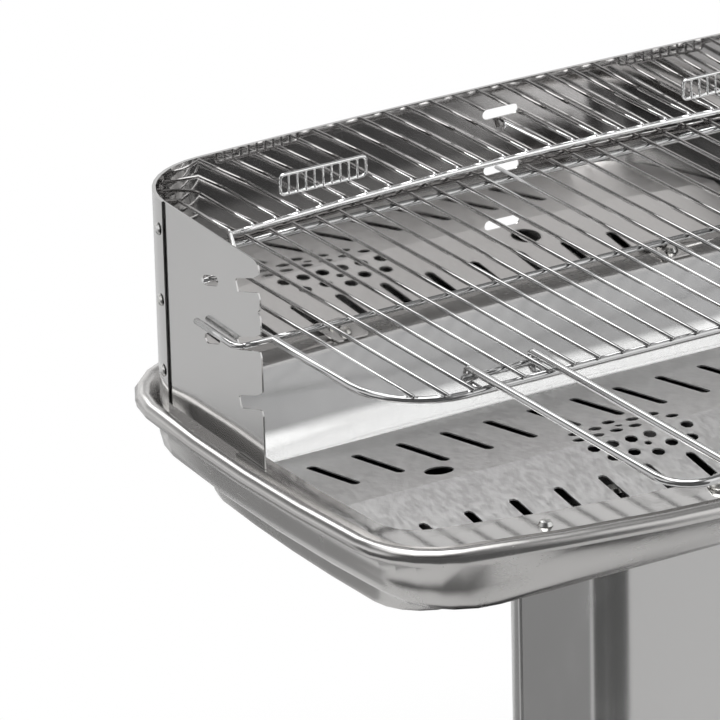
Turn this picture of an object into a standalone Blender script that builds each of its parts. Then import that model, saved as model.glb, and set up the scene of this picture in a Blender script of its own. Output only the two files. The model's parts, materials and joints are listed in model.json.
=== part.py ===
"""Pedestal charcoal grill in stainless steel: a drawn bowl with a perforated ridge sheet,
a three-level windshield, a wire cooking grid with two folding handles, a wire warming rack,
and a two-shell column on a pressed base with two wheels."""

import math

import bmesh
import bpy
from mathutils import Matrix, Vector

MM = 0.001
GAP = 0.3 * MM                      # working clearance between touching pieces

# Levels, measured from the floor
RIM_Z = 801 * MM
GRID_Z = RIM_Z + 69 * MM            # centre of the cooking rods on the middle level
LEVEL_STEP = 36.5 * MM              # height between two grid levels
WIND_TOP_Z = GRID_Z + LEVEL_STEP + 20.5 * MM

# Bowl, drawn from one sheet; all four edges of its rim bow outwards
BOWL_HALF_X = 295 * MM
BOWL_FRONT_Y = 222 * MM
BOWL_BACK_Y = 175 * MM
BOWL_FRONT_BOW_R = 937 * MM
BOWL_BACK_BOW_R = 2600 * MM
BOWL_SIDE_BOW_R = 1400 * MM
BOWL_FRONT_CORNER_R = 58 * MM
BOWL_BACK_CORNER_R = 71 * MM
LEAST_CORNER_R = 20 * MM
BOWL_SHEET = 1.0 * MM
BEAD_WIDTH = 10 * MM
LEDGE_DROP = 10.5 * MM
LEDGE_INNER = 30 * MM               # inset of the ledge's inner edge from the rim
FRONT_DEEPER = 15 * MM              # the ledge is this much wider along the front
BASIN_DEPTH = 64 * MM
FLOOR_INSET = 42 * MM               # basin floor from the rim at the sides
FLOOR_FRONT_Y = 128 * MM
FLOOR_BACK_Y = 114 * MM
FLOOR_CORNER_R = 34 * MM
SKIRT_DEPTH = 38 * MM
SKIRT_FRONT_Y = 189 * MM            # the skirt's lower edge runs straight across the front
SKIRT_LOW_BOW_R = 20000 * MM

# Strip that lies on the ledge round the front, between the two side sheets
STRIP_SHEET = 1.0 * MM
STRIP_OUTER = 17 * MM
STRIP_INNER = 28.5 * MM
STRIP_HEIGHT = 6.5 * MM
STRIP_END_Y = 14 * MM
STRIP_SCREW_X = 186 * MM
STRIP_SCREW_INSET = 26 * MM
STUD_X = 72 * MM
STUD_INSET = 33 * MM
STUD_RADIUS = 8 * MM
STUD_RISE = 7 * MM

# Charcoal sheet with its ridge
GRATE_CLEARANCE = 3 * MM            # round the sheet, inside the basin floor
RIDGE_Y = -9.5 * MM
GRATE_SHEET = 1.0 * MM
RIDGE_RISE = 19.3 * MM
SLOT_PITCH = 31.4 * MM
PATTERN_X = -SLOT_PITCH / 2         # the cut pattern sits half a pitch left of the middle
SLOT_ROWS = 6                       # slots each side of the pattern's middle
SLOT_NEAR = 35 * MM                 # slot's near end from the ridge
SLOT_LENGTH = 58 * MM
SLOT_WIDTH = 6 * MM
HOLE_RADIUS = 4.2 * MM
SMALL_HOLE_RADIUS = 2.4 * MM
HOLE_SPREAD = 13.4 * MM
LIFT_HOLE_RADIUS = 9 * MM
LIFT_HOLE_FROM_RIDGE = 20 * MM

# Windshield
WIND_SHEET = 1.0 * MM
WIND_FRONT_Y = -17 * MM
WIND_CORNER_X = BOWL_HALF_X - 21.5 * MM   # where the flared side runs into the rolled corner
WIND_CORNER_Y = 98.5 * MM
WIND_CORNER_R = 58.5 * MM
WIND_FLARE = math.radians(2.3)
WIND_BACK_BOW = 6 * MM
LAP_START = 2 * MM                  # both measured round the corner from its start
LAP_END = 16 * MM
FOOT_TAB_X = 120 * MM
FOOT_TAB_WIDTH = 24 * MM
FOOT_TAB_REACH = 17 * MM
HEM_HEIGHT = 9 * MM
HEM_EXTRA = 1.2 * MM
BACK_SLOT_LENGTH = 26 * MM
BACK_SLOT_HEIGHT = 6.4 * MM
NOTCH_SLANT = math.radians(16.5)
NOTCH_DEPTH = 27 * MM
RIVET_RADIUS = 2 * MM
RIVET_STEP = 45 * MM

# Cooking grid
ROD_PITCH = 17 * MM
ROD_RADIUS = 1.3 * MM
FRAME_RADIUS = 2.5 * MM
WELD_SINK = 0.6 * MM
GRID_HALF_X = WIND_CORNER_X - 18.5 * MM
ROD_COUNT = 2 * int((GRID_HALF_X - 16.5 * MM) / ROD_PITCH) + 1
GRID_BACK_Y = 150 * MM
GRID_FRONT_Y = -129 * MM
GRID_FRONT_R = 48 * MM
GRID_BACK_R = 50 * MM
ROD_OVERHANG = 7 * MM
ROD_TIP_BOW = 5.5 * MM              # the rods' back tips follow the bowed sheet behind them
SUPPORT_RADIUS = 2.0 * MM
SUPPORT_ARM = 50 * MM               # its two ends run back beside the windshield
SUPPORT_OUT = 2.6 * MM              # their middle from the back sheet's outer face
TONGUE_REACH = 5 * MM

# Folding handles of the grid
HANDLE_RADIUS = 2.5 * MM
HANDLE_SPREAD = 43 * MM
HANDLE_X = GRID_HALF_X - 85 * MM    # each handle's middle
HANDLE_REACH = 212 * MM
HANDLE_TIP = 8 * MM                 # the hook's lower leg runs this far past the hinge bar
HINGE_BAR_RADIUS = 2.2 * MM
HINGE_BAR_Y = -109 * MM

# Warming rack
RACK_ROD_RADIUS = 1.1 * MM
RACK_RAIL_RADIUS = 2 * MM
RACK_PITCH = 16.7 * MM
RACK_RODS = 2 * int((WIND_CORNER_X - 38 * MM) / RACK_PITCH) + 1
RACK_Z = GRID_Z + 33.2 * MM
RACK_FRONT_Y = 104 * MM
RACK_BOW = 14 * MM
RACK_HOOK_Z = GRID_Z + 24 * MM
RACK_HOOK_Y = 50 * MM
RACK_TAB_RADIUS = 1.6 * MM
RACK_TAB_DROP = 6 * MM              # the tab slopes down behind the middle rod
RACK_TAB_RUN = 5 * MM

# Column and base
COLUMN_X = 140 * MM
COLUMN_Y = 120 * MM
COLUMN_R = 20 * MM
COLUMN_SHEET = 1.5 * MM
SEAM_FROM_BACK = 27 * MM
LIP_REACH = 14 * MM
FLANGE_SHEET = 3 * MM
BASE_HALF_X = 240 * MM
BASE_HALF_Y = 190 * MM
BASE_POWER = 4.5
BASE_TOP_Z = 95 * MM
BASE_DEPTH = 35 * MM
BASE_SHEET = 1.5 * MM
WHEEL_RADIUS = 80 * MM
WHEEL_WIDTH = 30 * MM
WHEEL_Y = 125 * MM
AXLE_RADIUS = 5 * MM
FOOT_RADIUS = 20 * MM
FOOT_BORE = 21 * MM                 # blind, from above
FOOT_IN = 70 * MM                   # a foot's middle from the base's side
FOOT_BACK = 65 * MM                 # and from its front
FLANGE_BOLT_X = 50 * MM
FLANGE_BOLT_Y = 40 * MM

# Fasteners
BOLT_RADIUS = 3 * MM
BOLT_HEAD_RADIUS = 6 * MM
BOLT_HEAD_HEIGHT = 3.4 * MM
NUT_ACROSS = 10 * MM
NUT_HEIGHT = 5 * MM

for old in list(bpy.data.objects):
    bpy.data.objects.remove(old, do_unlink=True)

parts = bpy.data.collections.new("charcoal_grill")
cutters = bpy.data.collections.new("cutters")
for group in (parts, cutters):
    bpy.context.scene.collection.children.link(group)


def material(name, colour, roughness, metallic):
    made = bpy.data.materials.new(name)
    made.use_nodes = True
    shader = made.node_tree.nodes["Principled BSDF"]
    shader.inputs["Base Color"].default_value = (*colour, 1.0)
    shader.inputs["Roughness"].default_value = roughness
    shader.inputs["Metallic"].default_value = metallic
    return made


BOWL_STEEL = material("bowl_steel", (0.58, 0.57, 0.55), 0.28, 1.0)
WIND_STEEL = material("windshield_steel", (0.52, 0.51, 0.50), 0.22, 1.0)
GRATE_STEEL = material("grate_steel", (0.62, 0.61, 0.60), 0.38, 1.0)
CHROME = material("chrome_wire", (0.72, 0.72, 0.73), 0.10, 1.0)
COLUMN_STEEL = material("column_steel", (0.56, 0.56, 0.56), 0.34, 1.0)
BASE_PAINT = material("base_paint", (0.07, 0.07, 0.075), 0.5, 0.0)
ZINC = material("zinc_fastener", (0.66, 0.66, 0.67), 0.25, 1.0)
RUBBER = material("black_rubber", (0.02, 0.02, 0.02), 0.8, 0.0)
HUB_PLASTIC = material("hub_plastic", (0.05, 0.05, 0.055), 0.45, 0.0)


def place(name, mesh, look, group=parts):
    made = bpy.data.objects.new(name, mesh)
    group.objects.link(made)
    if look is not None:
        mesh.materials.clear()
        mesh.materials.append(look)
    return made


def as_mesh(curve_object):
    """Replace a curve object by a mesh object of the same name and place."""
    bpy.context.view_layer.update()
    evaluated = curve_object.evaluated_get(bpy.context.evaluated_depsgraph_get())
    mesh = bpy.data.meshes.new_from_object(evaluated)
    work = bmesh.new()
    work.from_mesh(mesh)
    bmesh.ops.remove_doubles(work, verts=work.verts, dist=0.00001)
    bmesh.ops.recalc_face_normals(work, faces=work.faces)
    work.to_mesh(mesh)
    work.free()
    name = curve_object.name
    matrix = curve_object.matrix_world.copy()
    group = curve_object.users_collection[0]
    curve = curve_object.data
    bpy.data.objects.remove(curve_object)
    bpy.data.curves.remove(curve)
    made = place(name, mesh, None, group)
    made.matrix_world = matrix
    return made


def wire(name, points, radius, look=None, closed=False, sides=8, group=parts):
    """A round wire through points; its caps are filled."""
    curve = bpy.data.curves.new(name, "CURVE")
    curve.dimensions = "3D"
    curve.bevel_depth = radius
    curve.bevel_resolution = (sides - 4) // 2
    curve.use_fill_caps = not closed
    spline = curve.splines.new("POLY")
    spline.points.add(len(points) - 1)
    for knot, point in zip(spline.points, points):
        knot.co = (*point, 1.0)
    spline.use_cyclic_u = closed
    made = bpy.data.objects.new(name, curve)
    group.objects.link(made)
    made = as_mesh(made)
    if look is not None:
        made.data.materials.append(look)
    return made


def plate(name, outlines, thickness, matrix=None, look=None, group=parts):
    """A flat plate: the first outline is its edge and the others are holes."""
    curve = bpy.data.curves.new(name, "CURVE")
    curve.dimensions = "2D"
    curve.fill_mode = "BOTH"
    curve.extrude = thickness / 2
    for outline in outlines:
        spline = curve.splines.new("POLY")
        spline.points.add(len(outline) - 1)
        for knot, point in zip(spline.points, outline):
            knot.co = (point[0], point[1], 0.0, 1.0)
        spline.use_cyclic_u = True
    made = bpy.data.objects.new(name, curve)
    group.objects.link(made)
    if matrix is not None:
        made.matrix_world = matrix
    made = as_mesh(made)
    if look is not None:
        made.data.materials.append(look)
    return made


def apply_transform(made):
    bpy.context.view_layer.update()
    made.data.transform(made.matrix_world)
    made.matrix_world = Matrix.Identity(4)
    return made


def join(name, pieces, group=parts):
    """One mesh object that holds every piece; the pieces stay separate bodies."""
    work = bmesh.new()
    for piece in pieces:
        apply_transform(piece)
        work.from_mesh(piece.data)
        mesh = piece.data
        bpy.data.objects.remove(piece)
        bpy.data.meshes.remove(mesh)
    mesh = bpy.data.meshes.new(name)
    work.to_mesh(mesh)
    work.free()
    return place(name, mesh, None, group)


def boolean(target, other, operation):
    """Cut or join target with other, which moves to the cutters."""
    for group in list(other.users_collection):
        group.objects.unlink(other)
    cutters.objects.link(other)
    other.hide_render = True
    other.display_type = "WIRE"
    step = target.modifiers.new(operation.lower(), "BOOLEAN")
    step.operation = operation
    step.object = other
    step.solver = "EXACT"
    return target


def smooth(made, angle=35):
    made.data.shade_smooth()
    made.data.set_sharp_from_angle(angle=math.radians(angle))
    return made


def turned(name, profile, look, at=(0, 0, 0), axis=(0, 0, 1), steps=20, group=parts):
    """A turned piece; profile is (radius, height), and runs down the outer side."""
    mesh = bpy.data.meshes.new(name)
    work = bmesh.new()
    verts = [work.verts.new((radius, 0, height)) for radius, height in profile]
    for first, second in zip(verts, verts[1:]):
        work.edges.new((first, second))
    if profile[0][0] > 0 and profile[-1][0] > 0:
        work.edges.new((verts[-1], verts[0]))
    work.to_mesh(mesh)
    work.free()
    made = place(name, mesh, look, group)
    screw = made.modifiers.new("turn", "SCREW")
    screw.steps = steps
    screw.render_steps = steps
    screw.use_merge_vertices = True
    screw.merge_threshold = 0.00001
    made.location = at
    made.rotation_mode = "QUATERNION"
    made.rotation_quaternion = Vector((0, 0, 1)).rotation_difference(Vector(axis))
    return made


def superellipse(half_x, half_y, power, count):
    points = []
    for index in range(count):
        angle = 2 * math.pi * index / count
        c = math.cos(angle)
        s = math.sin(angle)
        reach = (abs(c) ** power + abs(s) ** power) ** (-1 / power)
        points.append((half_x * reach * c, half_y * reach * s))
    return points


def circle_meet(first, first_r, second, second_r, right_of_line):
    """One of the two points at the given distances from two centres."""
    gap = (second[0] - first[0], second[1] - first[1])
    apart = math.hypot(*gap)
    along = (first_r ** 2 - second_r ** 2 + apart ** 2) / (2 * apart)
    off = math.sqrt(first_r ** 2 - along ** 2)
    unit = (gap[0] / apart, gap[1] / apart)
    turn = -1 if right_of_line else 1
    return (first[0] + unit[0] * along - turn * unit[1] * off,
            first[1] + unit[1] * along + turn * unit[0] * off)


def bowed_outline(half_x, front_y, back_y, corners, bows, steps=4):
    """A pan's plan: four bowed edges, with tangent round corners between them.

    Corners and bows are given as front and back radii.
    """
    side_centre = (half_x - BOWL_SIDE_BOW_R, (BOWL_BACK_Y - BOWL_FRONT_Y) / 2)
    front_centre = (0, bows[0] - front_y)
    back_centre = (0, back_y - bows[1])
    front_corner = circle_meet(front_centre, bows[0] - corners[0], side_centre,
                               BOWL_SIDE_BOW_R - corners[0], False)
    back_corner = circle_meet(back_centre, bows[1] - corners[1], side_centre,
                              BOWL_SIDE_BOW_R - corners[1], True)

    def heading(centre, point):
        return math.atan2(point[1] - centre[1], point[0] - centre[0])

    front_turn = heading(front_centre, front_corner)
    low_turn = heading(side_centre, front_corner)
    high_turn = heading(side_centre, back_corner)
    back_turn = heading(back_centre, back_corner)
    right = arc(front_centre, bows[0], -math.pi / 2, front_turn, steps)
    right += arc(front_corner, corners[0], front_turn, low_turn, steps + 1)[1:]
    right += arc(side_centre, BOWL_SIDE_BOW_R, low_turn, high_turn, steps)[1:]
    right += arc(back_corner, corners[1], high_turn, back_turn, steps + 1)[1:]
    right += arc(back_centre, bows[1], back_turn, math.pi / 2, steps)[1:]
    return right + [(-x, y) for x, y in reversed(right[1:-1])]


def rim_outline(inset, deeper=0):
    """The rim's plan, drawn in by inset all round and by deeper more along the front."""
    corners = (max(BOWL_FRONT_CORNER_R - inset, LEAST_CORNER_R), BOWL_BACK_CORNER_R - inset)
    bows = (BOWL_FRONT_BOW_R - inset - deeper, BOWL_BACK_BOW_R - inset)
    return bowed_outline(BOWL_HALF_X - inset, BOWL_FRONT_Y - inset - deeper,
                         BOWL_BACK_Y - inset, corners, bows)


def skirt_outline(inset, share):
    """The skirt's plan: share goes from 0 at the bead to 1 at its straight lower edge."""
    front = BOWL_FRONT_Y + (SKIRT_FRONT_Y - BOWL_FRONT_Y) * share
    low = min(share, 1)
    curvature = (1 - low) / BOWL_FRONT_BOW_R + low / SKIRT_LOW_BOW_R
    corners = (BOWL_FRONT_CORNER_R - inset * 0.6, BOWL_BACK_CORNER_R - inset * 0.6)
    return bowed_outline(BOWL_HALF_X - inset, front, BOWL_BACK_Y - inset, corners,
                         (1 / curvature, BOWL_BACK_BOW_R))


def disc(centre, radius, count=12):
    turns = [2 * math.pi * index / count for index in range(count)]
    return [(centre[0] + radius * math.cos(t), centre[1] + radius * math.sin(t)) for t in turns]


def long_hole(start, end, radius, arc_steps=4):
    """A slot with round ends, between two end centres."""
    heading = math.atan2(end[1] - start[1], end[0] - start[0])
    points = []
    for centre, facing in ((end, heading), (start, heading + math.pi)):
        for step in range(arc_steps + 1):
            t = facing - math.pi / 2 + math.pi * step / arc_steps
            points.append((centre[0] + radius * math.cos(t), centre[1] + radius * math.sin(t)))
    return points


def arc(centre, radius, start, end, steps):
    turns = [start + (end - start) * step / steps for step in range(steps + 1)]
    return [(centre[0] + radius * math.cos(t), centre[1] + radius * math.sin(t)) for t in turns]


def drawn_shell(name, rings, thickness, look):
    """A drawn sheet: open surface through the rings with a flat floor, then thickened."""
    mesh = bpy.data.meshes.new(name)
    work = bmesh.new()
    loops = [[work.verts.new(point) for point in ring] for ring in rings]
    for upper, lower in zip(loops, loops[1:]):
        for index in range(len(upper)):
            after = (index + 1) % len(upper)
            work.faces.new((upper[index], upper[after], lower[after], lower[index]))
    work.faces.new(loops[-1])
    bmesh.ops.recalc_face_normals(work, faces=work.faces)
    work.to_mesh(mesh)
    work.free()
    made = place(name, mesh, look)
    shell = made.modifiers.new("sheet", "SOLIDIFY")
    shell.thickness = thickness
    shell.offset = 0
    shell.use_even_offset = True
    return made


def bowl_rings():
    """Rings from the skirt's turned-in lower edge, over the bead and ledge, to the floor."""
    rings = []
    skirt = ((30 * MM, -SKIRT_DEPTH - 1 * MM, 1.2), (20 * MM, -SKIRT_DEPTH, 1.0),
             (15 * MM, -SKIRT_DEPTH + 5 * MM, 0.85), (13 * MM, -SKIRT_DEPTH + 14 * MM, 0.6),
             (12 * MM, -BEAD_WIDTH - 1 * MM, 0.45))
    for inset, z, share in skirt:
        rings.append([(x, y, RIM_Z + z) for x, y in skirt_outline(inset, share)])
    bead = BEAD_WIDTH / 2
    profile = []
    for turn in (215, 170, 120, 75, 40):
        t = math.radians(turn)
        profile.append((bead * (1 + math.cos(t)), -bead + bead * math.sin(t)))
    for inset, z in profile:
        rings.append([(x, y, RIM_Z + z) for x, y in rim_outline(inset)])
    rings.append([(x, y, LEDGE_Z) for x, y in rim_outline(BEAD_WIDTH + 0.6 * MM)])
    rings.append([(x, y, LEDGE_Z) for x, y in rim_outline(LEDGE_INNER - 2 * MM, FRONT_DEEPER)])
    brink = rim_outline(LEDGE_INNER, FRONT_DEEPER)
    floor = floor_outline(0)
    wall = ((0, LEDGE_Z - 2 * MM), (0.78, FLOOR_Z + 11 * MM), (0.9, FLOOR_Z + 3 * MM),
            (1, FLOOR_Z))
    for share, z in wall:
        rings.append([(a[0] + (b[0] - a[0]) * share, a[1] + (b[1] - a[1]) * share, z)
                      for a, b in zip(brink, floor)])
    return rings


def floor_outline(inset, steps=4):
    """The basin floor's plan, drawn in by inset."""
    corner = FLOOR_CORNER_R - inset
    return bowed_outline(BOWL_HALF_X - FLOOR_INSET - inset, FLOOR_FRONT_Y - inset,
                         FLOOR_BACK_Y - inset, (corner, corner),
                         (SKIRT_LOW_BOW_R, SKIRT_LOW_BOW_R), steps)


def make_bowl():
    bowl = drawn_shell("brazier_bowl", bowl_rings(), BOWL_SHEET, BOWL_STEEL)
    bores = []
    for x, y in flange_bolts():
        bores.append(bore("floor_bore", (x, y, FLOOR_Z), BOLT_RADIUS + GAP))
    for x, y in ledge_screws() + strip_studs():
        bores.append(bore("ledge_bore", (x, y, LEDGE_Z), BOLT_RADIUS + GAP))
    boolean(bowl, join("bowl_bores", bores, cutters), "DIFFERENCE")
    return smooth(bowl)


def bore(name, at, radius, axis=(0, 0, 1), length=12 * MM):
    half = length / 2
    profile = [(0, half), (radius, half), (radius, -half), (0, -half)]
    made = turned(name, profile, None, at, axis, 12, cutters)
    bpy.context.view_layer.update()
    evaluated = made.evaluated_get(bpy.context.evaluated_depsgraph_get())
    mesh = bpy.data.meshes.new_from_object(evaluated)
    matrix = made.matrix_world.copy()
    bpy.data.objects.remove(made)
    solid = place(name, mesh, None, cutters)
    solid.matrix_world = matrix
    return solid


FLOOR_Z = RIM_Z - BASIN_DEPTH
LEDGE_Z = RIM_Z - LEDGE_DROP
GRATE_EDGE_Z = FLOOR_Z + BOWL_SHEET / 2 + GAP + GRATE_SHEET / 2
RIDGE_Z = GRATE_EDGE_Z + RIDGE_RISE
RIDGE_TO_FRONT = FLOOR_FRONT_Y - GRATE_CLEARANCE + RIDGE_Y
RIDGE_TO_BACK = FLOOR_BACK_Y - GRATE_CLEARANCE - RIDGE_Y


def flange_bolts():
    return [(sx * FLANGE_BOLT_X, sy * FLANGE_BOLT_Y) for sx in (-1, 1) for sy in (-1, 1)]


def ledge_front(x, inset):
    """Where a line drawn in from the rim's bowed front by inset passes x."""
    bow = BOWL_FRONT_BOW_R - inset
    return bow - math.sqrt(bow ** 2 - x ** 2) + inset - BOWL_FRONT_Y


def strip_studs():
    """Two domed studs stand on the strip near the middle of the front."""
    return [(side * STUD_X, ledge_front(STUD_X, STUD_INSET)) for side in (-1, 1)]


def ledge_screws():
    """Two screws hold the strip at the front, and two hold the windshield's feet."""
    front = ledge_front(STRIP_SCREW_X, STRIP_SCREW_INSET)
    back = tab_back_y() - FOOT_TAB_REACH + 10 * MM
    return [(side * x, y) for side in (-1, 1)
            for x, y in ((STRIP_SCREW_X, front), (FOOT_TAB_X, back))]


def grate_holes():
    """Slots down both slopes, clusters of round holes by the ridge and two to lift it by."""
    holes = []
    half = SLOT_WIDTH / 2
    near = SLOT_NEAR + half
    far = SLOT_NEAR + SLOT_LENGTH - half
    for row in range(SLOT_ROWS * 2):
        x = PATTERN_X + (row - SLOT_ROWS + 0.5) * SLOT_PITCH
        for facing in (-1, 1):
            holes.append(long_hole((x, RIDGE_Y + facing * near), (x, RIDGE_Y + facing * far),
                                   half, 3))
    for side in (-1, 1):
        holes.append(disc((PATTERN_X + side * 4 * SLOT_PITCH, RIDGE_Y + LIFT_HOLE_FROM_RIDGE),
                          LIFT_HOLE_RADIUS, 16))
    cluster = [(0, 2.04, HOLE_RADIUS), (0, 1.2, SMALL_HOLE_RADIUS)]
    for side in (-1, 1):
        cluster += [(side * (step + 0.5), 0.6, HOLE_RADIUS) for step in range(3)]
        cluster += [(side, 1.6, HOLE_RADIUS), (side * 2.1, 1.6, HOLE_RADIUS)]
    for across, off, radius in cluster:
        for facing in (-1, 1):
            spot = (PATTERN_X + across * HOLE_SPREAD, RIDGE_Y + facing * off * HOLE_SPREAD)
            holes.append(disc(spot, radius, 8))
    return holes


def make_grate():
    grate = plate("charcoal_grate", [floor_outline(GRATE_CLEARANCE, 3)] + grate_holes(),
                  GRATE_SHEET, None, GRATE_STEEL)
    work = bmesh.new()
    work.from_mesh(grate.data)
    geometry = work.verts[:] + work.edges[:] + work.faces[:]
    bmesh.ops.bisect_plane(work, geom=geometry, dist=0.000001, plane_co=(0, RIDGE_Y, 0),
                           plane_no=(0, 1, 0))
    for vert in work.verts:
        ahead = vert.co.y < RIDGE_Y
        slope = RIDGE_RISE / (RIDGE_TO_FRONT if ahead else RIDGE_TO_BACK)
        vert.co.z += RIDGE_Z - abs(vert.co.y - RIDGE_Y) * slope
    work.to_mesh(grate.data)
    work.free()
    return grate


def band(name, outer, inner, z_low, z_high):
    """An upright sheet between two plan paths."""
    outline = outer + list(reversed(inner))
    middle = Matrix.Translation((0, 0, (z_low + z_high) / 2))
    return plate(name, [outline], z_high - z_low, middle, None)


def swept(name, rails, look):
    """A solid whose closed section changes place along the rails, capped at both ends."""
    mesh = bpy.data.meshes.new(name)
    work = bmesh.new()
    lines = [[work.verts.new(point) for point in rail] for rail in rails]
    for index, line in enumerate(lines):
        after = lines[(index + 1) % len(lines)]
        for step in range(len(line) - 1):
            work.faces.new((line[step], line[step + 1], after[step + 1], after[step]))
    work.faces.new([line[0] for line in lines])
    work.faces.new([line[-1] for line in reversed(lines)])
    bmesh.ops.recalc_face_normals(work, faces=work.faces)
    work.to_mesh(mesh)
    work.free()
    return place(name, mesh, look)


def open_front(inset, deeper):
    """The rim's plan from the strip's right end, across the front, to its left end."""
    outline = rim_outline(inset, deeper)
    right = [point for point in outline[:len(outline) // 2] if point[1] < STRIP_END_Y - 1 * MM]
    right.append((right[-1][0], STRIP_END_Y))
    return [(-x, y) for x, y in reversed(right[1:])] + right


def make_strip():
    """The angle strip round the front: its outer wall stands on the ledge."""
    wall = STRIP_OUTER + STRIP_SHEET
    under = STRIP_TOP_Z - STRIP_SHEET
    section = ((STRIP_OUTER, 0, STRIP_LOW_Z), (STRIP_OUTER, 0, STRIP_TOP_Z),
               (STRIP_INNER, FRONT_DEEPER, STRIP_TOP_Z), (STRIP_INNER, FRONT_DEEPER, under),
               (wall, 0, under), (wall, 0, STRIP_LOW_Z))
    rails = [[(x, y, z) for x, y in open_front(inset, deeper)] for inset, deeper, z in section]
    strip = swept("ledge_strip", rails, BOWL_STEEL)
    bores = [bore("strip_bore", (x, y, STRIP_TOP_Z), BOLT_RADIUS + GAP)
             for x, y in ledge_screws() + strip_studs() if y < 0]
    boolean(strip, join("strip_bores", bores, cutters), "DIFFERENCE")
    return strip


STRIP_LOW_Z = LEDGE_Z + BOWL_SHEET / 2 + GAP
STRIP_TOP_Z = STRIP_LOW_Z + STRIP_HEIGHT
WIND_LOW_Z = STRIP_LOW_Z
SIDE_LOW_Z = STRIP_TOP_Z + GAP
CORNER_CENTRE = (-WIND_CORNER_X + WIND_CORNER_R * math.cos(WIND_FLARE),
                 WIND_CORNER_Y - WIND_CORNER_R * math.sin(WIND_FLARE))
WIND_BACK_Y = CORNER_CENTRE[1] + WIND_CORNER_R + WIND_BACK_BOW
SLOT_Z = GRID_Z + BACK_SLOT_HEIGHT / 2 - ROD_RADIUS - GAP


def bowed_back(x, offset):
    reach = abs(CORNER_CENTRE[0])
    return CORNER_CENTRE[1] + WIND_CORNER_R + offset + WIND_BACK_BOW * (1 - (x / reach) ** 2)


def tab_back_y():
    return bowed_back(FOOT_TAB_X, 0) - WIND_SHEET / 2


def wind_path(offset):
    """Plan of the back sheet's outer face moved out by offset, left seam to right seam."""
    start = math.pi - WIND_FLARE - LAP_START / WIND_CORNER_R
    left = arc(CORNER_CENTRE, WIND_CORNER_R + offset, start, math.pi / 2 + 0.05, 9)
    reach = abs(CORNER_CENTRE[0])
    back = []
    for step in range(1, 8):
        x = -reach + 2 * reach * step / 8
        back.append((x, bowed_back(x, offset)))
    return left + back + [(-x, y) for x, y in reversed(left)]


def make_wind_back():
    hem_low = WIND_TOP_Z - HEM_HEIGHT
    hem = -WIND_SHEET - HEM_EXTRA
    section = ((0, WIND_LOW_Z), (0, WIND_TOP_Z), (hem, WIND_TOP_Z), (hem, hem_low),
               (-WIND_SHEET, hem_low), (-WIND_SHEET, WIND_LOW_Z))
    rails = [[(x, y, z) for x, y in wind_path(offset)] for offset, z in section]
    back = swept("windshield_back", rails, WIND_STEEL)
    tabs = []
    half = FOOT_TAB_WIDTH / 2
    corner = 3 * MM
    inner = -FOOT_TAB_REACH
    outline = [(half, 0), (-half, 0)] + arc((-half + corner, inner + corner), corner,
                                           math.pi, 1.5 * math.pi, 3)
    outline += arc((half - corner, inner + corner), corner, 1.5 * math.pi, 2 * math.pi, 3)
    for side in (-1, 1):
        stand = Matrix.Translation((side * FOOT_TAB_X, tab_back_y(),
                                    WIND_LOW_Z + WIND_SHEET / 2))
        tabs.append(plate("foot_tab", [outline], WIND_SHEET, stand, None, cutters))
    boolean(back, join("foot_tabs", tabs, cutters), "UNION")
    holes = []
    half = BACK_SLOT_LENGTH / 2 - BACK_SLOT_HEIGHT / 2
    for level in (-1, 0, 1):
        z = SLOT_Z + level * LEVEL_STEP
        stand = Matrix.Translation((0, WIND_BACK_Y, z)) @ Matrix.Rotation(math.pi / 2, 4, "X")
        slot = long_hole((-half, 0), (half, 0), BACK_SLOT_HEIGHT / 2, 6)
        holes.append(plate("back_slot", [slot], 12 * MM, stand, None, cutters))
    for side in (-1, 1):
        for z in rivet_heights():
            holes.append(bore("rivet_bore", rivet_place(side, z), RIVET_RADIUS + GAP,
                              rivet_axis(side), 8 * MM))
    for x, y in ledge_screws():
        if y > 0:
            holes.append(bore("tab_bore", (x, y, WIND_LOW_Z), BOLT_RADIUS + GAP))
    boolean(back, join("back_cuts", holes, cutters), "DIFFERENCE")
    return smooth(back)


def rivet_heights():
    middle = (SIDE_LOW_Z + WIND_TOP_Z) / 2
    return [middle + step * RIVET_STEP for step in (-1, 0, 1)]


def rivet_axis(side):
    turn = math.pi - WIND_FLARE - (LAP_START + LAP_END) / 2 / WIND_CORNER_R
    return (-side * math.cos(turn), math.sin(turn), 0)


def rivet_place(side, z):
    """Where a rivet's axis meets the outer face of the back sheet."""
    out = rivet_axis(side)
    return (-side * CORNER_CENTRE[0] + out[0] * WIND_CORNER_R,
            CORNER_CENTRE[1] + out[1] * WIND_CORNER_R, z)


def notch_points(mouth_z):
    """One slanted notch, from its upper lip inward and back out along its floor."""
    run = NOTCH_DEPTH
    drop = run * math.tan(NOTCH_SLANT)
    return [(0, mouth_z + 11 * MM), (7 * MM, mouth_z + 7 * MM), (run + 1 * MM, mouth_z),
            (run + 2.5 * MM, mouth_z - 2 * MM), (run, mouth_z - drop),
            (4 * MM, mouth_z - 4 * MM * math.tan(NOTCH_SLANT)),
            (1.5 * MM, mouth_z - 1 * MM), (0, mouth_z - 4 * MM)]


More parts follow.
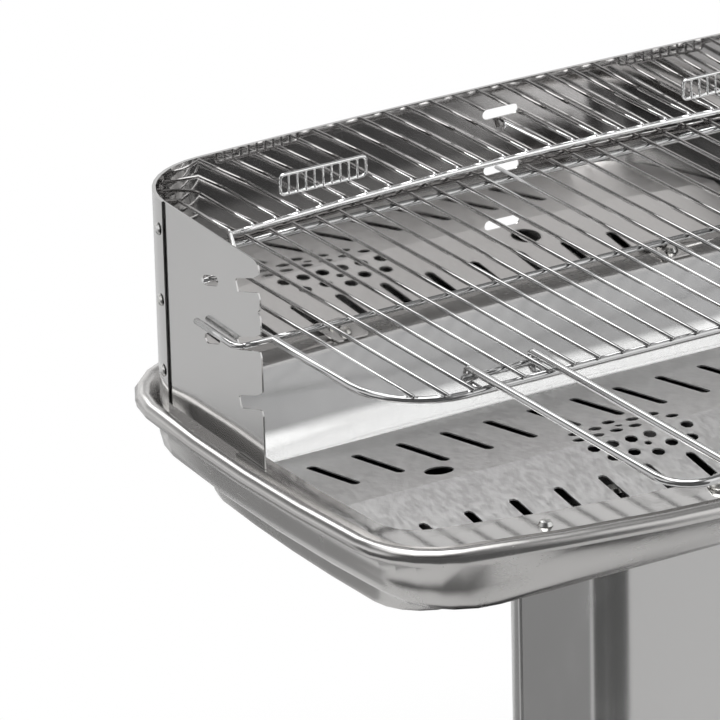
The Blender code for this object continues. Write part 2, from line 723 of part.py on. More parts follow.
def side_outline():
    """Outline of a side sheet: x is the distance behind the front edge, y is the height."""
    length = STRAIGHT_LENGTH + LAP_END
    mouth = (SUPPORT_Z - (SUPPORT_RADIUS + GAP) / math.cos(NOTCH_SLANT)
             + SUPPORT_RUN * math.tan(NOTCH_SLANT))
    under_hem = WIND_TOP_Z - HEM_HEIGHT - GAP
    hem_start = STRAIGHT_LENGTH + LAP_START - GAP
    points = [(length, SIDE_LOW_Z), (length, under_hem), (hem_start, under_hem),
              (hem_start, WIND_TOP_Z), (6 * MM, WIND_TOP_Z)]
    points += arc((6 * MM, WIND_TOP_Z - 6 * MM), 6 * MM, math.pi / 2, math.pi, 4)[1:]
    for level in (1, 0, -1):
        points += notch_points(mouth + level * LEVEL_STEP)
        if level == 1:
            nick = mouth + level * LEVEL_STEP - 13 * MM
            points += [(0, nick + 3 * MM), (3 * MM, nick), (0, nick - 3 * MM)]
    points += [(0, SIDE_LOW_Z)]
    return points


SUPPORT_Z = GRID_Z - ROD_RADIUS - SUPPORT_RADIUS + WELD_SINK
SUPPORT_RUN = NOTCH_DEPTH - SUPPORT_RADIUS - 2 * MM
SUPPORT_Y = WIND_FRONT_Y + SUPPORT_RUN * math.cos(WIND_FLARE)


STRAIGHT_LENGTH = (WIND_CORNER_Y - WIND_FRONT_Y) / math.cos(WIND_FLARE)
SIDE_INSET = WIND_SHEET * 1.5 + GAP        # middle of a side sheet from the back's outer face


def rolled(along, out):
    """Plan of the left side sheet: along from its front edge, out from its middle surface."""
    radius = WIND_CORNER_R - SIDE_INSET
    past = max(along - STRAIGHT_LENGTH, 0)
    turn = math.pi - WIND_FLARE - past / radius
    straight = min(along, STRAIGHT_LENGTH) - STRAIGHT_LENGTH
    return (CORNER_CENTRE[0] + (radius + out) * math.cos(turn) + straight * math.sin(WIND_FLARE),
            CORNER_CENTRE[1] + (radius + out) * math.sin(turn) + straight * math.cos(WIND_FLARE))


def key_holes():
    """Slanted holes behind the two upper notches, for the ends of the warming rack."""
    holes = []
    for level in (0, -1):
        rear = ((RACK_HOOK_Y - WIND_FRONT_Y) / math.cos(WIND_FLARE),
                RACK_HOOK_Z + level * LEVEL_STEP)
        run = 13 * MM
        front = (rear[0] - run, rear[1] + run * math.tan(NOTCH_SLANT))
        holes.append(long_hole(front, rear, RACK_RAIL_RADIUS + 1.2 * MM, 4))
    return holes


def make_wind_side(name, side):
    holes = key_holes()
    rivet_along = STRAIGHT_LENGTH + (LAP_START + LAP_END) / 2
    for z in rivet_heights():
        holes.append(disc((rivet_along, z), RIVET_RADIUS + GAP, 12))
    made = plate(name, [side_outline()] + holes, WIND_SHEET, None, WIND_STEEL)
    work = bmesh.new()
    work.from_mesh(made.data)
    for step in range(3):
        geometry = work.verts[:] + work.edges[:] + work.faces[:]
        at = STRAIGHT_LENGTH + step * LAP_END / 3
        bmesh.ops.bisect_plane(work, geom=geometry, dist=0.000001, plane_co=(at, 0, 0),
                               plane_no=(1, 0, 0))
    for vert in work.verts:
        x, y = rolled(vert.co.x, vert.co.z)
        vert.co = (-side * x, y, vert.co.y)
    bmesh.ops.recalc_face_normals(work, faces=work.faces)
    work.to_mesh(made.data)
    work.free()
    return made


def make_rivets():
    deep = -2 * WIND_SHEET - 2 * GAP
    profile = [(0, GAP + 1.6 * MM), (2.6 * MM, GAP + 1.2 * MM), (4 * MM, GAP),
               (RIVET_RADIUS, GAP), (RIVET_RADIUS, deep), (3.4 * MM, deep),
               (3.4 * MM, deep - 1 * MM), (0, deep - 1 * MM)]
    for side, word in ((-1, "left"), (1, "right")):
        for index, z in enumerate(rivet_heights()):
            smooth(turned("seam_rivet_%s_%d" % (word, index + 1), profile, ZINC,
                          rivet_place(side, z), rivet_axis(side), 10))


def frame_path(z):
    left = -GRID_HALF_X
    points = arc((left + GRID_FRONT_R, GRID_FRONT_Y + GRID_FRONT_R), GRID_FRONT_R,
                 math.pi, 1.5 * math.pi, 8)
    points += [(-x, y) for x, y in reversed(points)]
    back = arc((-left - GRID_BACK_R, GRID_BACK_Y - GRID_BACK_R), GRID_BACK_R, 0, math.pi / 2, 8)
    points += back
    points += [(-x, y) for x, y in reversed(back)]
    return [(x, y, z) for x, y in points]


def rod_x(number):
    return (number - (ROD_COUNT - 1) / 2) * ROD_PITCH


def corner_inset(x, half_x, radius):
    """How far a rounded corner draws a straight edge in at x."""
    past = abs(x) - (half_x - radius)
    return radius - math.sqrt(radius ** 2 - past ** 2) if past > 0 else 0


def make_grid():
    frame = wire("cooking_grid", frame_path(FRAME_Z), FRAME_RADIUS, CHROME, True, 8)
    rods = []
    for number in range(ROD_COUNT):
        x = rod_x(number)
        bow = ROD_TIP_BOW * (x / (GRID_HALF_X - GRID_BACK_R)) ** 2
        back = GRID_BACK_Y + ROD_OVERHANG - bow - corner_inset(x, GRID_HALF_X, GRID_BACK_R)
        front = GRID_FRONT_Y - 3 * MM + corner_inset(x, GRID_HALF_X, GRID_FRONT_R)
        beside = min(abs(abs(x) - HANDLE_X - side * HANDLE_SPREAD / 2) for side in (-1, 1))
        if beside < ROD_RADIUS + HANDLE_RADIUS + GAP:
            front = HINGE_BAR_Y + HINGE_BAR_RADIUS + 2 * HANDLE_RADIUS + 3 * GAP
        if number == ROD_COUNT // 2:
            back = WIND_BACK_Y + TONGUE_REACH
        rods.append(wire("rod", [(x, front, GRID_Z), (x, back, GRID_Z)], ROD_RADIUS, sides=6,
                         group=cutters))
    boolean(frame, join("rods", rods, cutters), "UNION")
    crossing = [wire("support", support_path(), SUPPORT_RADIUS, sides=8, group=cutters)]
    for side in (-1, 1):
        reach = HANDLE_SPREAD / 2 + 6 * MM
        ends = [(side * HANDLE_X + shift, HINGE_BAR_Y, HINGE_BAR_Z) for shift in (-reach, reach)]
        crossing.append(wire("hinge_bar", ends, HINGE_BAR_RADIUS, sides=8, group=cutters))
    boolean(frame, join("crossing_wires", crossing, cutters), "UNION")
    return smooth(frame, 50)


HINGE_BAR_Z = GRID_Z - ROD_RADIUS - HINGE_BAR_RADIUS + WELD_SINK


def beside_windshield(y):
    """Where a wire that runs along the outside of a side sheet has its middle."""
    return WIND_CORNER_X + (WIND_CORNER_Y - y) * math.tan(WIND_FLARE) + SUPPORT_OUT


def support_path():
    """The grid's carrier: across under the rods, out through both notches and back."""
    bend = 6 * MM
    tip = SUPPORT_Y + SUPPORT_ARM
    x = beside_windshield(SUPPORT_Y + bend)
    left = [(-beside_windshield(tip), tip)]
    left += arc((-x + bend, SUPPORT_Y + bend), bend, math.pi, 1.5 * math.pi, 4)
    return [(x, y, SUPPORT_Z) for x, y in left + [(-x, y) for x, y in reversed(left)]]


def handle_path():
    """One handle in its hinge's frame: hooked end, arm, round end, arm, hooked end."""
    curl = HINGE_BAR_RADIUS + GAP + HANDLE_RADIUS
    half = HANDLE_SPREAD / 2
    side = [(-half, -HANDLE_TIP, -curl)]
    side += [(-half, y, z) for y, z in arc((0, 0), curl, -math.pi / 2, math.pi / 2, 7)]
    stop = HANDLE_REACH - half
    side += [(x, y, curl) for x, y in arc((0, -stop), half, math.pi, 1.5 * math.pi, 6)]
    return side + [(-x, y, z) for x, y, z in reversed(side[:-1])]


FRAME_Z = GRID_Z - ROD_RADIUS - FRAME_RADIUS + WELD_SINK


def make_handle(name, side):
    hinge = bpy.data.objects.new(name + "_hinge", None)
    parts.objects.link(hinge)
    hinge.location = (side * HANDLE_X, HINGE_BAR_Y, HINGE_BAR_Z)
    made = wire(name, handle_path(), HANDLE_RADIUS, CHROME, sides=8)
    made.parent = hinge
    return smooth(made, 50)


def rack_front(x):
    """The rack's front edge bows back in its middle."""
    reach = (RACK_RODS - 1) / 2 * RACK_PITCH
    return RACK_FRONT_Y - RACK_BOW * (x / reach) ** 2


def rack_back(x):
    """The rack's rods stop just short of the windshield, also in its rolled corners."""
    short = WIND_SHEET + RACK_ROD_RADIUS
    past = abs(x) - abs(CORNER_CENTRE[0])
    if past <= 0:
        return bowed_back(x, -short)
    return CORNER_CENTRE[1] + math.sqrt((WIND_CORNER_R - short) ** 2 - past ** 2)


def make_rack():
    """Rods side by side on one bowed rail, whose ends hook through the windshield's sides."""
    rail_z = RACK_Z - RACK_ROD_RADIUS - RACK_RAIL_RADIUS + WELD_SINK
    end = (RACK_RODS - 1) / 2 * RACK_PITCH
    steps = 12
    rail_x = [-end + 2 * end * step / steps for step in range(steps + 1)]
    rail = [(x, rack_front(x), rail_z) for x in rail_x]
    hook_x = beside_windshield(RACK_HOOK_Y) - SUPPORT_OUT + 0.3 * MM
    hook = [(-hook_x, RACK_HOOK_Y, RACK_HOOK_Z), (-end - 20 * MM, RACK_HOOK_Y, RACK_HOOK_Z),
            (-end - 14 * MM, RACK_HOOK_Y + 6 * MM, RACK_HOOK_Z + 2 * MM)]
    mirrored = [(-x, y, z) for x, y, z in reversed(hook)]
    rack = wire("warming_rack", hook + rail + mirrored, RACK_RAIL_RADIUS, CHROME, sides=8)
    rods = []
    for number in range(RACK_RODS):
        x = number * RACK_PITCH - end
        front = rack_front(x) - RACK_ROD_RADIUS
        rods.append(wire("rack_rod", [(x, rack_back(x), RACK_Z), (x, front + 2 * MM, RACK_Z),
                                      (x, front, RACK_Z - 1 * MM)],
                         RACK_ROD_RADIUS, sides=6, group=cutters))
    boolean(rack, join("rack_rods", rods, cutters), "UNION")
    tab_y = rack_back(0) - RACK_TAB_RADIUS
    tab = [(0, tab_y - RACK_TAB_RUN, RACK_Z), (0, tab_y, RACK_Z - RACK_TAB_DROP)]
    boolean(rack, wire("rack_tab", tab, RACK_TAB_RADIUS, sides=8, group=cutters), "UNION")
    return smooth(rack, 50)


def bolt(name, at, length, down=True, head=BOLT_HEAD_RADIUS):
    """A dome-head bolt whose head seats at the given point."""
    rise = BOLT_HEAD_HEIGHT
    profile = [(0, rise), (head * 0.7, rise * 0.7), (head, 0), (BOLT_RADIUS, 0),
               (BOLT_RADIUS, -length), (0, -length)]
    axis = (0, 0, 1) if down else (0, 0, -1)
    return smooth(turned(name, profile, ZINC, at, axis, 10))


def nut(name, at):
    """A hexagon nut whose lower face is at the given point."""
    hexagon = disc((0, 0), NUT_ACROSS / math.sqrt(3), 6)
    stand = Matrix.Translation((at[0], at[1], at[2] + NUT_HEIGHT / 2))
    return plate(name, [hexagon, disc((0, 0), BOLT_RADIUS + GAP, 12)], NUT_HEIGHT, stand, ZINC)


def make_screws():
    floor_top = FLOOR_Z + BOWL_SHEET / 2
    for index, (x, y) in enumerate(ledge_screws()):
        seat = WIND_LOW_Z + WIND_SHEET if y > 0 else STRIP_TOP_Z
        bolt("ledge_screw_%d" % (index + 1), (x, y, seat + GAP),
             seat - LEDGE_Z + BOWL_SHEET + NUT_HEIGHT + 2 * GAP, head=4.5 * MM)
        nut("ledge_nut_%d" % (index + 1), (x, y, LEDGE_Z - BOWL_SHEET / 2 - GAP - NUT_HEIGHT))
    for word, (x, y) in zip(("left", "right"), strip_studs()):
        reach = STRIP_TOP_Z - LEDGE_Z + BOWL_SHEET + NUT_HEIGHT + 2 * GAP
        dome = [(STUD_RADIUS * math.sin(t), STUD_RISE * math.cos(t))
                for t in (math.radians(18 * step) for step in range(6))]
        shank = [(BOLT_RADIUS, 0), (BOLT_RADIUS, -reach), (0, -reach)]
        smooth(turned("strip_stud_%s" % word, dome + shank, ZINC, (x, y, STRIP_TOP_Z + GAP),
                      steps=16))
        nut("stud_nut_%s" % word, (x, y, LEDGE_Z - BOWL_SHEET / 2 - GAP - NUT_HEIGHT))
    for index, (x, y) in enumerate(flange_bolts()):
        bolt("bowl_bolt_%d" % (index + 1), (x, y, floor_top + GAP),
             BOWL_SHEET + FLANGE_SHEET + 4 * GAP + 2 * MM)


def rounded_box(half_x, half_y, radius, steps=5):
    points = []
    for sx, sy, start in ((1, 1, 0), (-1, 1, 90), (-1, -1, 180), (1, -1, 270)):
        centre = (sx * (half_x - radius), sy * (half_y - radius))
        begin = math.radians(start)
        points += arc(centre, radius, begin, begin + math.pi / 2, steps)
    return points


COLUMN_TOP_Z = FLOOR_Z - BOWL_SHEET / 2 - GAP - FLANGE_SHEET
COLUMN_LOW_Z = BASE_TOP_Z + GAP + FLANGE_SHEET


def u_plan(inset, start, facing):
    """Half-round-cornered U: from start points on the +X side, round the corners, mirrored."""
    x = COLUMN_X / 2 - inset
    y = COLUMN_Y / 2 - inset
    radius = COLUMN_R - inset
    side = start + arc((x - radius, y - radius), radius, 0, math.pi / 2, 6)
    path = side + [(-px, py) for px, py in reversed(side)]
    return [(px, facing * py) for px, py in path]


def make_column():
    """A front shell with its sides, and a rear panel whose joggled lips lie inside them."""
    low = COLUMN_LOW_Z + GAP
    high = COLUMN_TOP_Z - GAP
    half_x = COLUMN_X / 2
    seam = COLUMN_Y / 2 - SEAM_FROM_BACK
    outer = u_plan(0, [(half_x, -seam)], -1)
    inner = u_plan(COLUMN_SHEET, [(half_x - COLUMN_SHEET, -seam)], -1)
    front = band("column_front_shell", outer, inner, low, high)
    front.data.materials.append(COLUMN_STEEL)
    joggle = COLUMN_SHEET + GAP
    outer = u_plan(0, [(half_x - joggle, seam - LIP_REACH), (half_x - joggle, seam + 2 * GAP),
                       (half_x, seam + 2 * GAP + joggle)], 1)
    under = half_x - joggle - COLUMN_SHEET
    inner = u_plan(COLUMN_SHEET, [(under, seam - LIP_REACH), (under, seam + 4 * GAP),
                                  (half_x - COLUMN_SHEET, seam + 4 * GAP + joggle)], 1)
    rear = band("column_rear_panel", outer, inner, low, high)
    rear.data.materials.append(COLUMN_STEEL)
    smooth(front)
    smooth(rear)


def make_flange(name, z, holes):
    """A plate that closes a column end; its corner bolts thread into it."""
    edge = rounded_box(COLUMN_X / 2, COLUMN_Y / 2, COLUMN_R)
    stand = Matrix.Translation((0, 0, z + FLANGE_SHEET / 2))
    cuts = [disc(spot, BOLT_RADIUS + GAP, 12) for spot in holes]
    made = plate(name, [edge] + cuts, FLANGE_SHEET, stand, COLUMN_STEEL)
    return apply_transform(made)


def ring_at(inset, z):
    outline = superellipse(BASE_HALF_X - inset, BASE_HALF_Y - inset, BASE_POWER, 28)
    return [(x, y, z) for x, y in outline]


def base_rings():
    steps = [(0, -BASE_DEPTH), (0, -14 * MM), (2 * MM, -7 * MM), (7 * MM, -2 * MM), (14 * MM, 0)]
    return [ring_at(inset, BASE_TOP_Z - BASE_SHEET / 2 + z)
            for inset, z in steps]


def base_bolts():
    return flange_bolts()


def foot_spots():
    return [(side * (BASE_HALF_X - FOOT_IN), FOOT_BACK - BASE_HALF_Y) for side in (-1, 1)]


def make_base():
    base = drawn_shell("base_pan", base_rings(), BASE_SHEET, BASE_PAINT)
    cuts = [bore("axle_hole", (0, WHEEL_Y, WHEEL_RADIUS), AXLE_RADIUS + GAP, (1, 0, 0),
                 2.5 * BASE_HALF_X)]
    for x, y in base_bolts() + foot_spots():
        cuts.append(bore("base_bore", (x, y, BASE_TOP_Z), BOLT_RADIUS + GAP))
    boolean(base, join("base_cuts", cuts, cutters), "DIFFERENCE")
    smooth(base)
    low = BASE_TOP_Z - BASE_SHEET
    for index, (x, y) in enumerate(base_bolts()):
        bolt("base_bolt_%d" % (index + 1), (x, y, low - GAP),
             BASE_SHEET + FLANGE_SHEET + 4 * GAP + 2 * MM, down=False)
    for side, (x, y) in zip(("left", "right"), foot_spots()):
        top = low - GAP
        profile = [(0, top), (14 * MM, top), (FOOT_RADIUS, 8 * MM), (FOOT_RADIUS, 2 * MM),
                   (FOOT_RADIUS - 2 * MM, 0), (0, 0)]
        foot = smooth(turned("front_foot_%s" % side, profile, RUBBER, (x, y, 0), steps=20))
        hole = bore("foot_bore", (x, y, top), BOLT_RADIUS + GAP, length=2 * FOOT_BORE)
        boolean(foot, hole, "DIFFERENCE")
        flat = foot.modifiers.new("flat_sole", "DECIMATE")
        flat.decimate_type = "DISSOLVE"
        flat.angle_limit = math.radians(0.5)
        bolt("foot_bolt_%s" % side, (x, y, BASE_TOP_Z + GAP), 20 * MM)


def make_wheels():
    reach = BASE_HALF_X + 8 * MM
    length = reach + WHEEL_WIDTH + 6 * MM
    axle_profile = [(0, length), (AXLE_RADIUS - 1 * MM, length), (AXLE_RADIUS, length - 1 * MM),
                    (AXLE_RADIUS, 1 * MM - length), (AXLE_RADIUS - 1 * MM, -length), (0, -length)]
    centre = (0, WHEEL_Y, WHEEL_RADIUS)
    smooth(turned("wheel_axle", axle_profile, ZINC, centre, (1, 0, 0), 12))
    for side in (-1, 1):
        word = "left" if side < 0 else "right"
        at = (side * reach, WHEEL_Y, WHEEL_RADIUS)
        half = WHEEL_WIDTH
        tread = WHEEL_RADIUS - 10 * MM
        bore_radius = AXLE_RADIUS + GAP
        hub = [(bore_radius, half), (16 * MM, half), (18 * MM, half - 8 * MM),
               (tread - 12 * MM, half - 10 * MM), (tread - 6 * MM, half - 4 * MM),
               (tread, half - 4 * MM), (tread, 4 * MM), (tread - 6 * MM, 4 * MM),
               (tread - 12 * MM, 12 * MM), (18 * MM, 12 * MM), (14 * MM, 0), (bore_radius, 0)]
        wheel = turned("wheel_%s" % word, hub, HUB_PLASTIC, at, (side, 0, 0), 20)
        spokes = []
        for index in range(5):
            t = 2 * math.pi * index / 5
            spot = Vector((0, 38 * MM * math.cos(t), 38 * MM * math.sin(t)))
            where = Vector(at) + spot + Vector((side * half / 2, 0, 0))
            spokes.append(bore("wheel_window", where, 11 * MM, (1, 0, 0), WHEEL_WIDTH))
        boolean(wheel, join("wheel_windows_%s" % word, spokes, cutters), "DIFFERENCE")
        smooth(wheel)
        seat = tread + GAP
        tyre = [(seat, half), (WHEEL_RADIUS - 3 * MM, half), (WHEEL_RADIUS, half - 4 * MM),
                (WHEEL_RADIUS, 4 * MM), (WHEEL_RADIUS - 3 * MM, 0), (seat, 0)]
        smooth(turned("tyre_%s" % word, tyre, RUBBER, at, (side, 0, 0), 20))
        cap_at = (side * (reach + half + GAP), WHEEL_Y, WHEEL_RADIUS)
        cap = [(0, 9 * MM), (8 * MM, 8.5 * MM), (11 * MM, 5 * MM), (12 * MM, 0),
               (bore_radius, 0), (bore_radius, 6.5 * MM), (0, 6.5 * MM)]
        smooth(turned("axle_cap_%s" % word, cap, HUB_PLASTIC, cap_at, (side, 0, 0), 16))


make_bowl()
make_grate()
make_strip()
make_wind_back()
make_wind_side("windshield_side_left", -1)
make_wind_side("windshield_side_right", 1)
make_rivets()
make_grid()
make_handle("grid_handle_left", -1)
make_handle("grid_handle_right", 1)
make_rack()
make_screws()
make_column()
make_flange("column_top_flange", COLUMN_TOP_Z, flange_bolts())
make_flange("column_foot_flange", BASE_TOP_Z + GAP, base_bolts())
make_base()
make_wheels()
bpy.context.view_layer.update()
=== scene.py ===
# %% [markdown]
# # A stainless steel charcoal grill, one finish at a time
# The grill is mostly bright metal, and bright metal is mostly what it reflects. So this lesson
# spends its time on two things: a finish for each way the metal was worked, such as satin
# pressed, polished, rolled or plated, and a studio that gives those finishes something to show.
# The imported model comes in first, with every solid already in its place in metres.

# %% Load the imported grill
import json
import math

import bpy
from mathutils import Euler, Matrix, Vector


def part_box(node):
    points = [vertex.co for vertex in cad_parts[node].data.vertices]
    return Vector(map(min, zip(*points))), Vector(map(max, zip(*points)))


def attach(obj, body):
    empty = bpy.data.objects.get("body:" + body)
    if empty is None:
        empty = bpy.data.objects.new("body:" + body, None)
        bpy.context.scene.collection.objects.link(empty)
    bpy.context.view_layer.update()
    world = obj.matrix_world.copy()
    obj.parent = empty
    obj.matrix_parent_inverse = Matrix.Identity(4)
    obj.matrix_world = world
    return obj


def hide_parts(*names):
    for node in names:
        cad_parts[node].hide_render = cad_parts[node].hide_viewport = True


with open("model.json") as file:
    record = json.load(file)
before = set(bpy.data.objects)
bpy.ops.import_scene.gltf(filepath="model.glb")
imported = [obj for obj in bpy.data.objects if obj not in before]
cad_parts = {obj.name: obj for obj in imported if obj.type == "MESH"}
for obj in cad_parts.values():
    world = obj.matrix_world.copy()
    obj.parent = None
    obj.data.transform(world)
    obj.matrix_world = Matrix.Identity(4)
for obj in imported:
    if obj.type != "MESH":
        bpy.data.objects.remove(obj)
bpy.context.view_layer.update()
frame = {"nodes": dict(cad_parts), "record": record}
nodes = frame["nodes"]


# %% [markdown]
# ## Small tools for node work
# Every finish below is a handful of nodes wired together. Short helpers keep that readable:
# they feed a socket, add a node, do a sum, layer masks on a value, carry a value from one
# range to another, or mix two values by a mask.

# %% Helpers: single nodes
X_AXIS, Y_AXIS, Z_AXIS = range(3)


def feed(tree, socket, value):
    """Links a socket to another node's output, or gives it a plain value."""
    if isinstance(value, bpy.types.NodeSocket):
        tree.links.new(value, socket)
    else:
        socket.default_value = value


def add_node(tree, kind, inputs=None, **settings):
    """A node of one kind, with its settings and, by socket name or number, its inputs."""
    node = tree.nodes.new(kind)
    for name, value in settings.items():
        setattr(node, name, value)
    for name, value in (inputs or {}).items():
        feed(tree, node.inputs[name], value)
    return node


def sums(tree, operation, a, b=0.0):
    """The result of one arithmetic step on numbers or sockets."""
    return add_node(tree, "ShaderNodeMath", {0: a, 1: b}, operation=operation).outputs[0]


def layered(tree, base, *layers):
    """A base value plus a share of each mask; a negative share takes away."""
    for mask, share in layers:
        base = sums(tree, "ADD", base, sums(tree, "MULTIPLY", mask, share))
    return base


def between(tree, value, low, high, from_low=0.0, from_high=1.0):
    """A value carried from one range to another, with soft ends and no overshoot."""
    ranges = {"Value": value, "From Min": from_low, "From Max": from_high,
              "To Min": low, "To Max": high}
    node = add_node(tree, "ShaderNodeMapRange", ranges, interpolation_type="SMOOTHSTEP")
    return node.outputs["Result"]


def crossfade(tree, mask, first, second):
    """A number that goes from the first to the second as the mask goes from 0 to 1."""
    ends = {0: mask, 2: first, 3: second}
    return add_node(tree, "ShaderNodeMix", ends, data_type="FLOAT").outputs[0]


def tint(tree, mask, first, second):
    """A colour that goes from the first to the second as the mask goes from 0 to 1."""
    ends = {0: mask}
    for slot, colour in ((6, first), (7, second)):
        ends[slot] = colour if isinstance(colour, bpy.types.NodeSocket) else (*colour, 1.0)
    return add_node(tree, "ShaderNodeMix", ends, data_type="RGBA").outputs[2]


print("helpers for single nodes ready")


# %% [markdown]
# ## Patterns and directions
# Most metal patterns here are noise, drawn out along one axis until its blots turn into lines.
# What a surface shows also depends on where it is and where it faces, so three more helpers
# read one number of a vector, the way a surface faces, and how far two vectors agree.

# %% Helpers: patterns and directions
def noise(tree, place, scale=1.0, detail=2.0, roughness=0.5, distortion=0.0):
    """A soft random value from 0 to 1 at each place."""
    values = {"Vector": place, "Scale": scale, "Detail": detail, "Roughness": roughness,
              "Distortion": distortion}
    return add_node(tree, "ShaderNodeTexNoise", values).outputs["Fac"]


def stretched(tree, place, factors):
    """A place multiplied by a factor of its own along each axis."""
    values = {0: place, 1: factors}
    return add_node(tree, "ShaderNodeVectorMath", values, operation="MULTIPLY").outputs[0]


def along_axis(tree, vector, axis):
    """One of the three numbers of a vector."""
    return add_node(tree, "ShaderNodeSeparateXYZ", {0: vector}).outputs[axis]


def facing(tree):
    """The direction in which a surface faces."""
    return add_node(tree, "ShaderNodeNewGeometry").outputs["True Normal"]


def agreement(tree, first, second):
    """The dot product of two vectors: large where they point the same way."""
    values = {0: first, 1: second}
    node = add_node(tree, "ShaderNodeVectorMath", values, operation="DOT_PRODUCT")
    return node.outputs["Value"]


print("helpers for patterns ready")


# %% [markdown]
# ## Groups and finishes
# An effect that several finishes share becomes a node group with named inputs. A finish is a
# material that keeps its own shader, with every value that is the same all over straight on
# the shader's sockets, where an exporter can still find it.

# %% Helpers: groups and finishes
FLOAT = "NodeSocketFloat"
VECTOR = "NodeSocketVector"


def new_group(name, inputs, outputs):
    """An empty shader node group with named inputs and outputs."""
    group = bpy.data.node_groups.new(name, "ShaderNodeTree")
    for socket, kind, value in inputs:
        new_socket = group.interface.new_socket(name=socket, in_out="INPUT", socket_type=kind)
        if value is not None:
            new_socket.default_value = value
    for socket, kind in outputs:
        group.interface.new_socket(name=socket, in_out="OUTPUT", socket_type=kind)
    return group, group.nodes.new("NodeGroupInput"), group.nodes.new("NodeGroupOutput")


def use_group(tree, group, **values):
    """The outputs of a group placed in a material with its own values."""
    inputs = {name.replace("_", " "): value for name, value in values.items()}
    return add_node(tree, "ShaderNodeGroup", inputs, node_tree=group).outputs


def new_finish(name, **constants):
    """A material with its node tree, its shader and its object coordinates."""
    finish = bpy.data.materials.new(name)
    finish.use_nodes = True
    tree = finish.node_tree
    shader = tree.nodes["Principled BSDF"]
    for socket, value in constants.items():
        shader.inputs[socket].default_value = value
    place = add_node(tree, "ShaderNodeTexCoord").outputs["Object"]
    return finish, tree, shader, place


def connect(tree, shader, tone, rough=None, relief=None, depth=0.0001, strength=1.0):
    """Wires a finish's colour, roughness and relief into its shader."""
    feed(tree, shader.inputs["Base Color"], tone)
    if rough is not None:
        feed(tree, shader.inputs["Roughness"], rough)
    if relief is not None:
        values = {"Height": relief, "Distance": depth, "Strength": strength}
        bump = add_node(tree, "ShaderNodeBump", values)
        feed(tree, shader.inputs["Normal"], bump.outputs["Normal"])


print("helpers for groups and finishes ready")


# %% [markdown]
# ## Grain that runs along the sheet
# A rolled or brushed sheet carries very fine parallel lines. On the drawn bowl and the
# windshield they run round the grill, so they follow X on the front and the back and Y on the
# two ends. Stretching a noise along one axis gives the lines, and the surface's own direction
# chooses between the two. A broad cloud comes with them, for slow changes of tone.

# %% Group: sheet grain
grain_group, given, made = new_group(
    "Sheet grain",
    [("Place", VECTOR, None), ("Lines per metre", FLOAT, 900.0), ("Stretch", FLOAT, 0.02)],
    [("Grain", FLOAT), ("Cloud", FLOAT)])
CLOUDS_PER_METRE = 14.0
END_STARTS, END_FULL = 0.35, 0.85  # how far a face looks along X, from 0 to 1


def grain_along(tree, place, fine, long, axis):
    """Noise with the same fine scale on two axes and a much longer one on the third."""
    scales = {number: long if number == axis else fine for number in range(3)}
    factors = add_node(tree, "ShaderNodeCombineXYZ", scales).outputs[0]
    return noise(tree, stretched(tree, place, factors), roughness=0.6)


place = given.outputs["Place"]
fine = given.outputs["Lines per metre"]
long = sums(grain_group, "MULTIPLY", fine, given.outputs["Stretch"])
grain_x = grain_along(grain_group, place, fine, long, X_AXIS)
grain_y = grain_along(grain_group, place, fine, long, Y_AXIS)
facing_x = sums(grain_group, "ABSOLUTE", along_axis(grain_group, facing(grain_group), X_AXIS))
end_face = between(grain_group, facing_x, 0.0, 1.0, END_STARTS, END_FULL)
feed(grain_group, made.inputs["Grain"], crossfade(grain_group, end_face, grain_x, grain_y))
cloud = noise(grain_group, place, CLOUDS_PER_METRE, detail=4.0)
feed(grain_group, made.inputs["Cloud"], cloud)
print("sheet grain has", len(grain_group.nodes), "nodes")


# %% [markdown]
# ## Marks of handling
# Even a grill fresh from its box has been held: faint finger smears, and hair-thin scuffs that
# run in no one direction. A scuff is the thin line where a noise crosses its middle value. The
# group gives both as masks, and each finish decides how much of them it shows.

# %% Group: handling marks
marks_group, given, made = new_group(
    "Handling marks", [("Place", VECTOR, None), ("Smears per metre", FLOAT, 30.0)],
    [("Smear", FLOAT), ("Scuff", FLOAT)])
HAIRS_PER_METRE = (420.0, 60.0, 260.0)
HAIR_WIDTH = 0.012

place = given.outputs["Place"]
fingers = noise(marks_group, place, given.outputs["Smears per metre"], detail=5.0,
                roughness=0.55, distortion=0.8)
feed(marks_group, made.inputs["Smear"], between(marks_group, fingers, 0.0, 1.0, 0.5, 0.72))
hairs = noise(marks_group, stretched(marks_group, place, HAIRS_PER_METRE), detail=1.0,
              distortion=1.4)
off_middle = sums(marks_group, "ABSOLUTE", sums(marks_group, "SUBTRACT", hairs, 0.5))
scuff = between(marks_group, off_middle, 1.0, 0.0, 0.0, HAIR_WIDTH)
feed(marks_group, made.inputs["Scuff"], scuff)
print("handling marks has", len(marks_group.nodes), "nodes")


# %% [markdown]
# ## Satin steel of the bowl
# The bowl is drawn from one stainless sheet. Its outside keeps a satin face, and its basin,
# which lies under the ledge and faces inward, is glossier, with its colour darkened as painted
# shade under the ledge. Below a bend the wall slants in to the floor. That low band's colour is
# painted almost white, a painted highlight for the light overhead, and the press has left upright
# draw lines on it. The floor under the charcoal sheet gets next to no light, so its colour is
# painted nearly black as painted shade. Height and direction tell these parts of one sheet apart.

# %% Finish: bowl steel
LEDGE_HEIGHT = 0.7905
LEDGE_FADE = 0.004
WALL_BEND = 0.750
BEND_FADE = 0.006
ABOVE_BEND = 0.05  # how much of the low band's look the wall above it keeps
FLOOR_HEIGHT = 0.737
FLOOR_TOP, FLOOR_FADED = FLOOR_HEIGHT + 0.0012, FLOOR_HEIGHT + 0.0018
LEVEL_FROM, LEVEL_FULL = 0.9, 0.98  # how far a face looks up, from 0 to 1
DRAW_LINES_PER_METRE = (240.0, 240.0, 26.0)


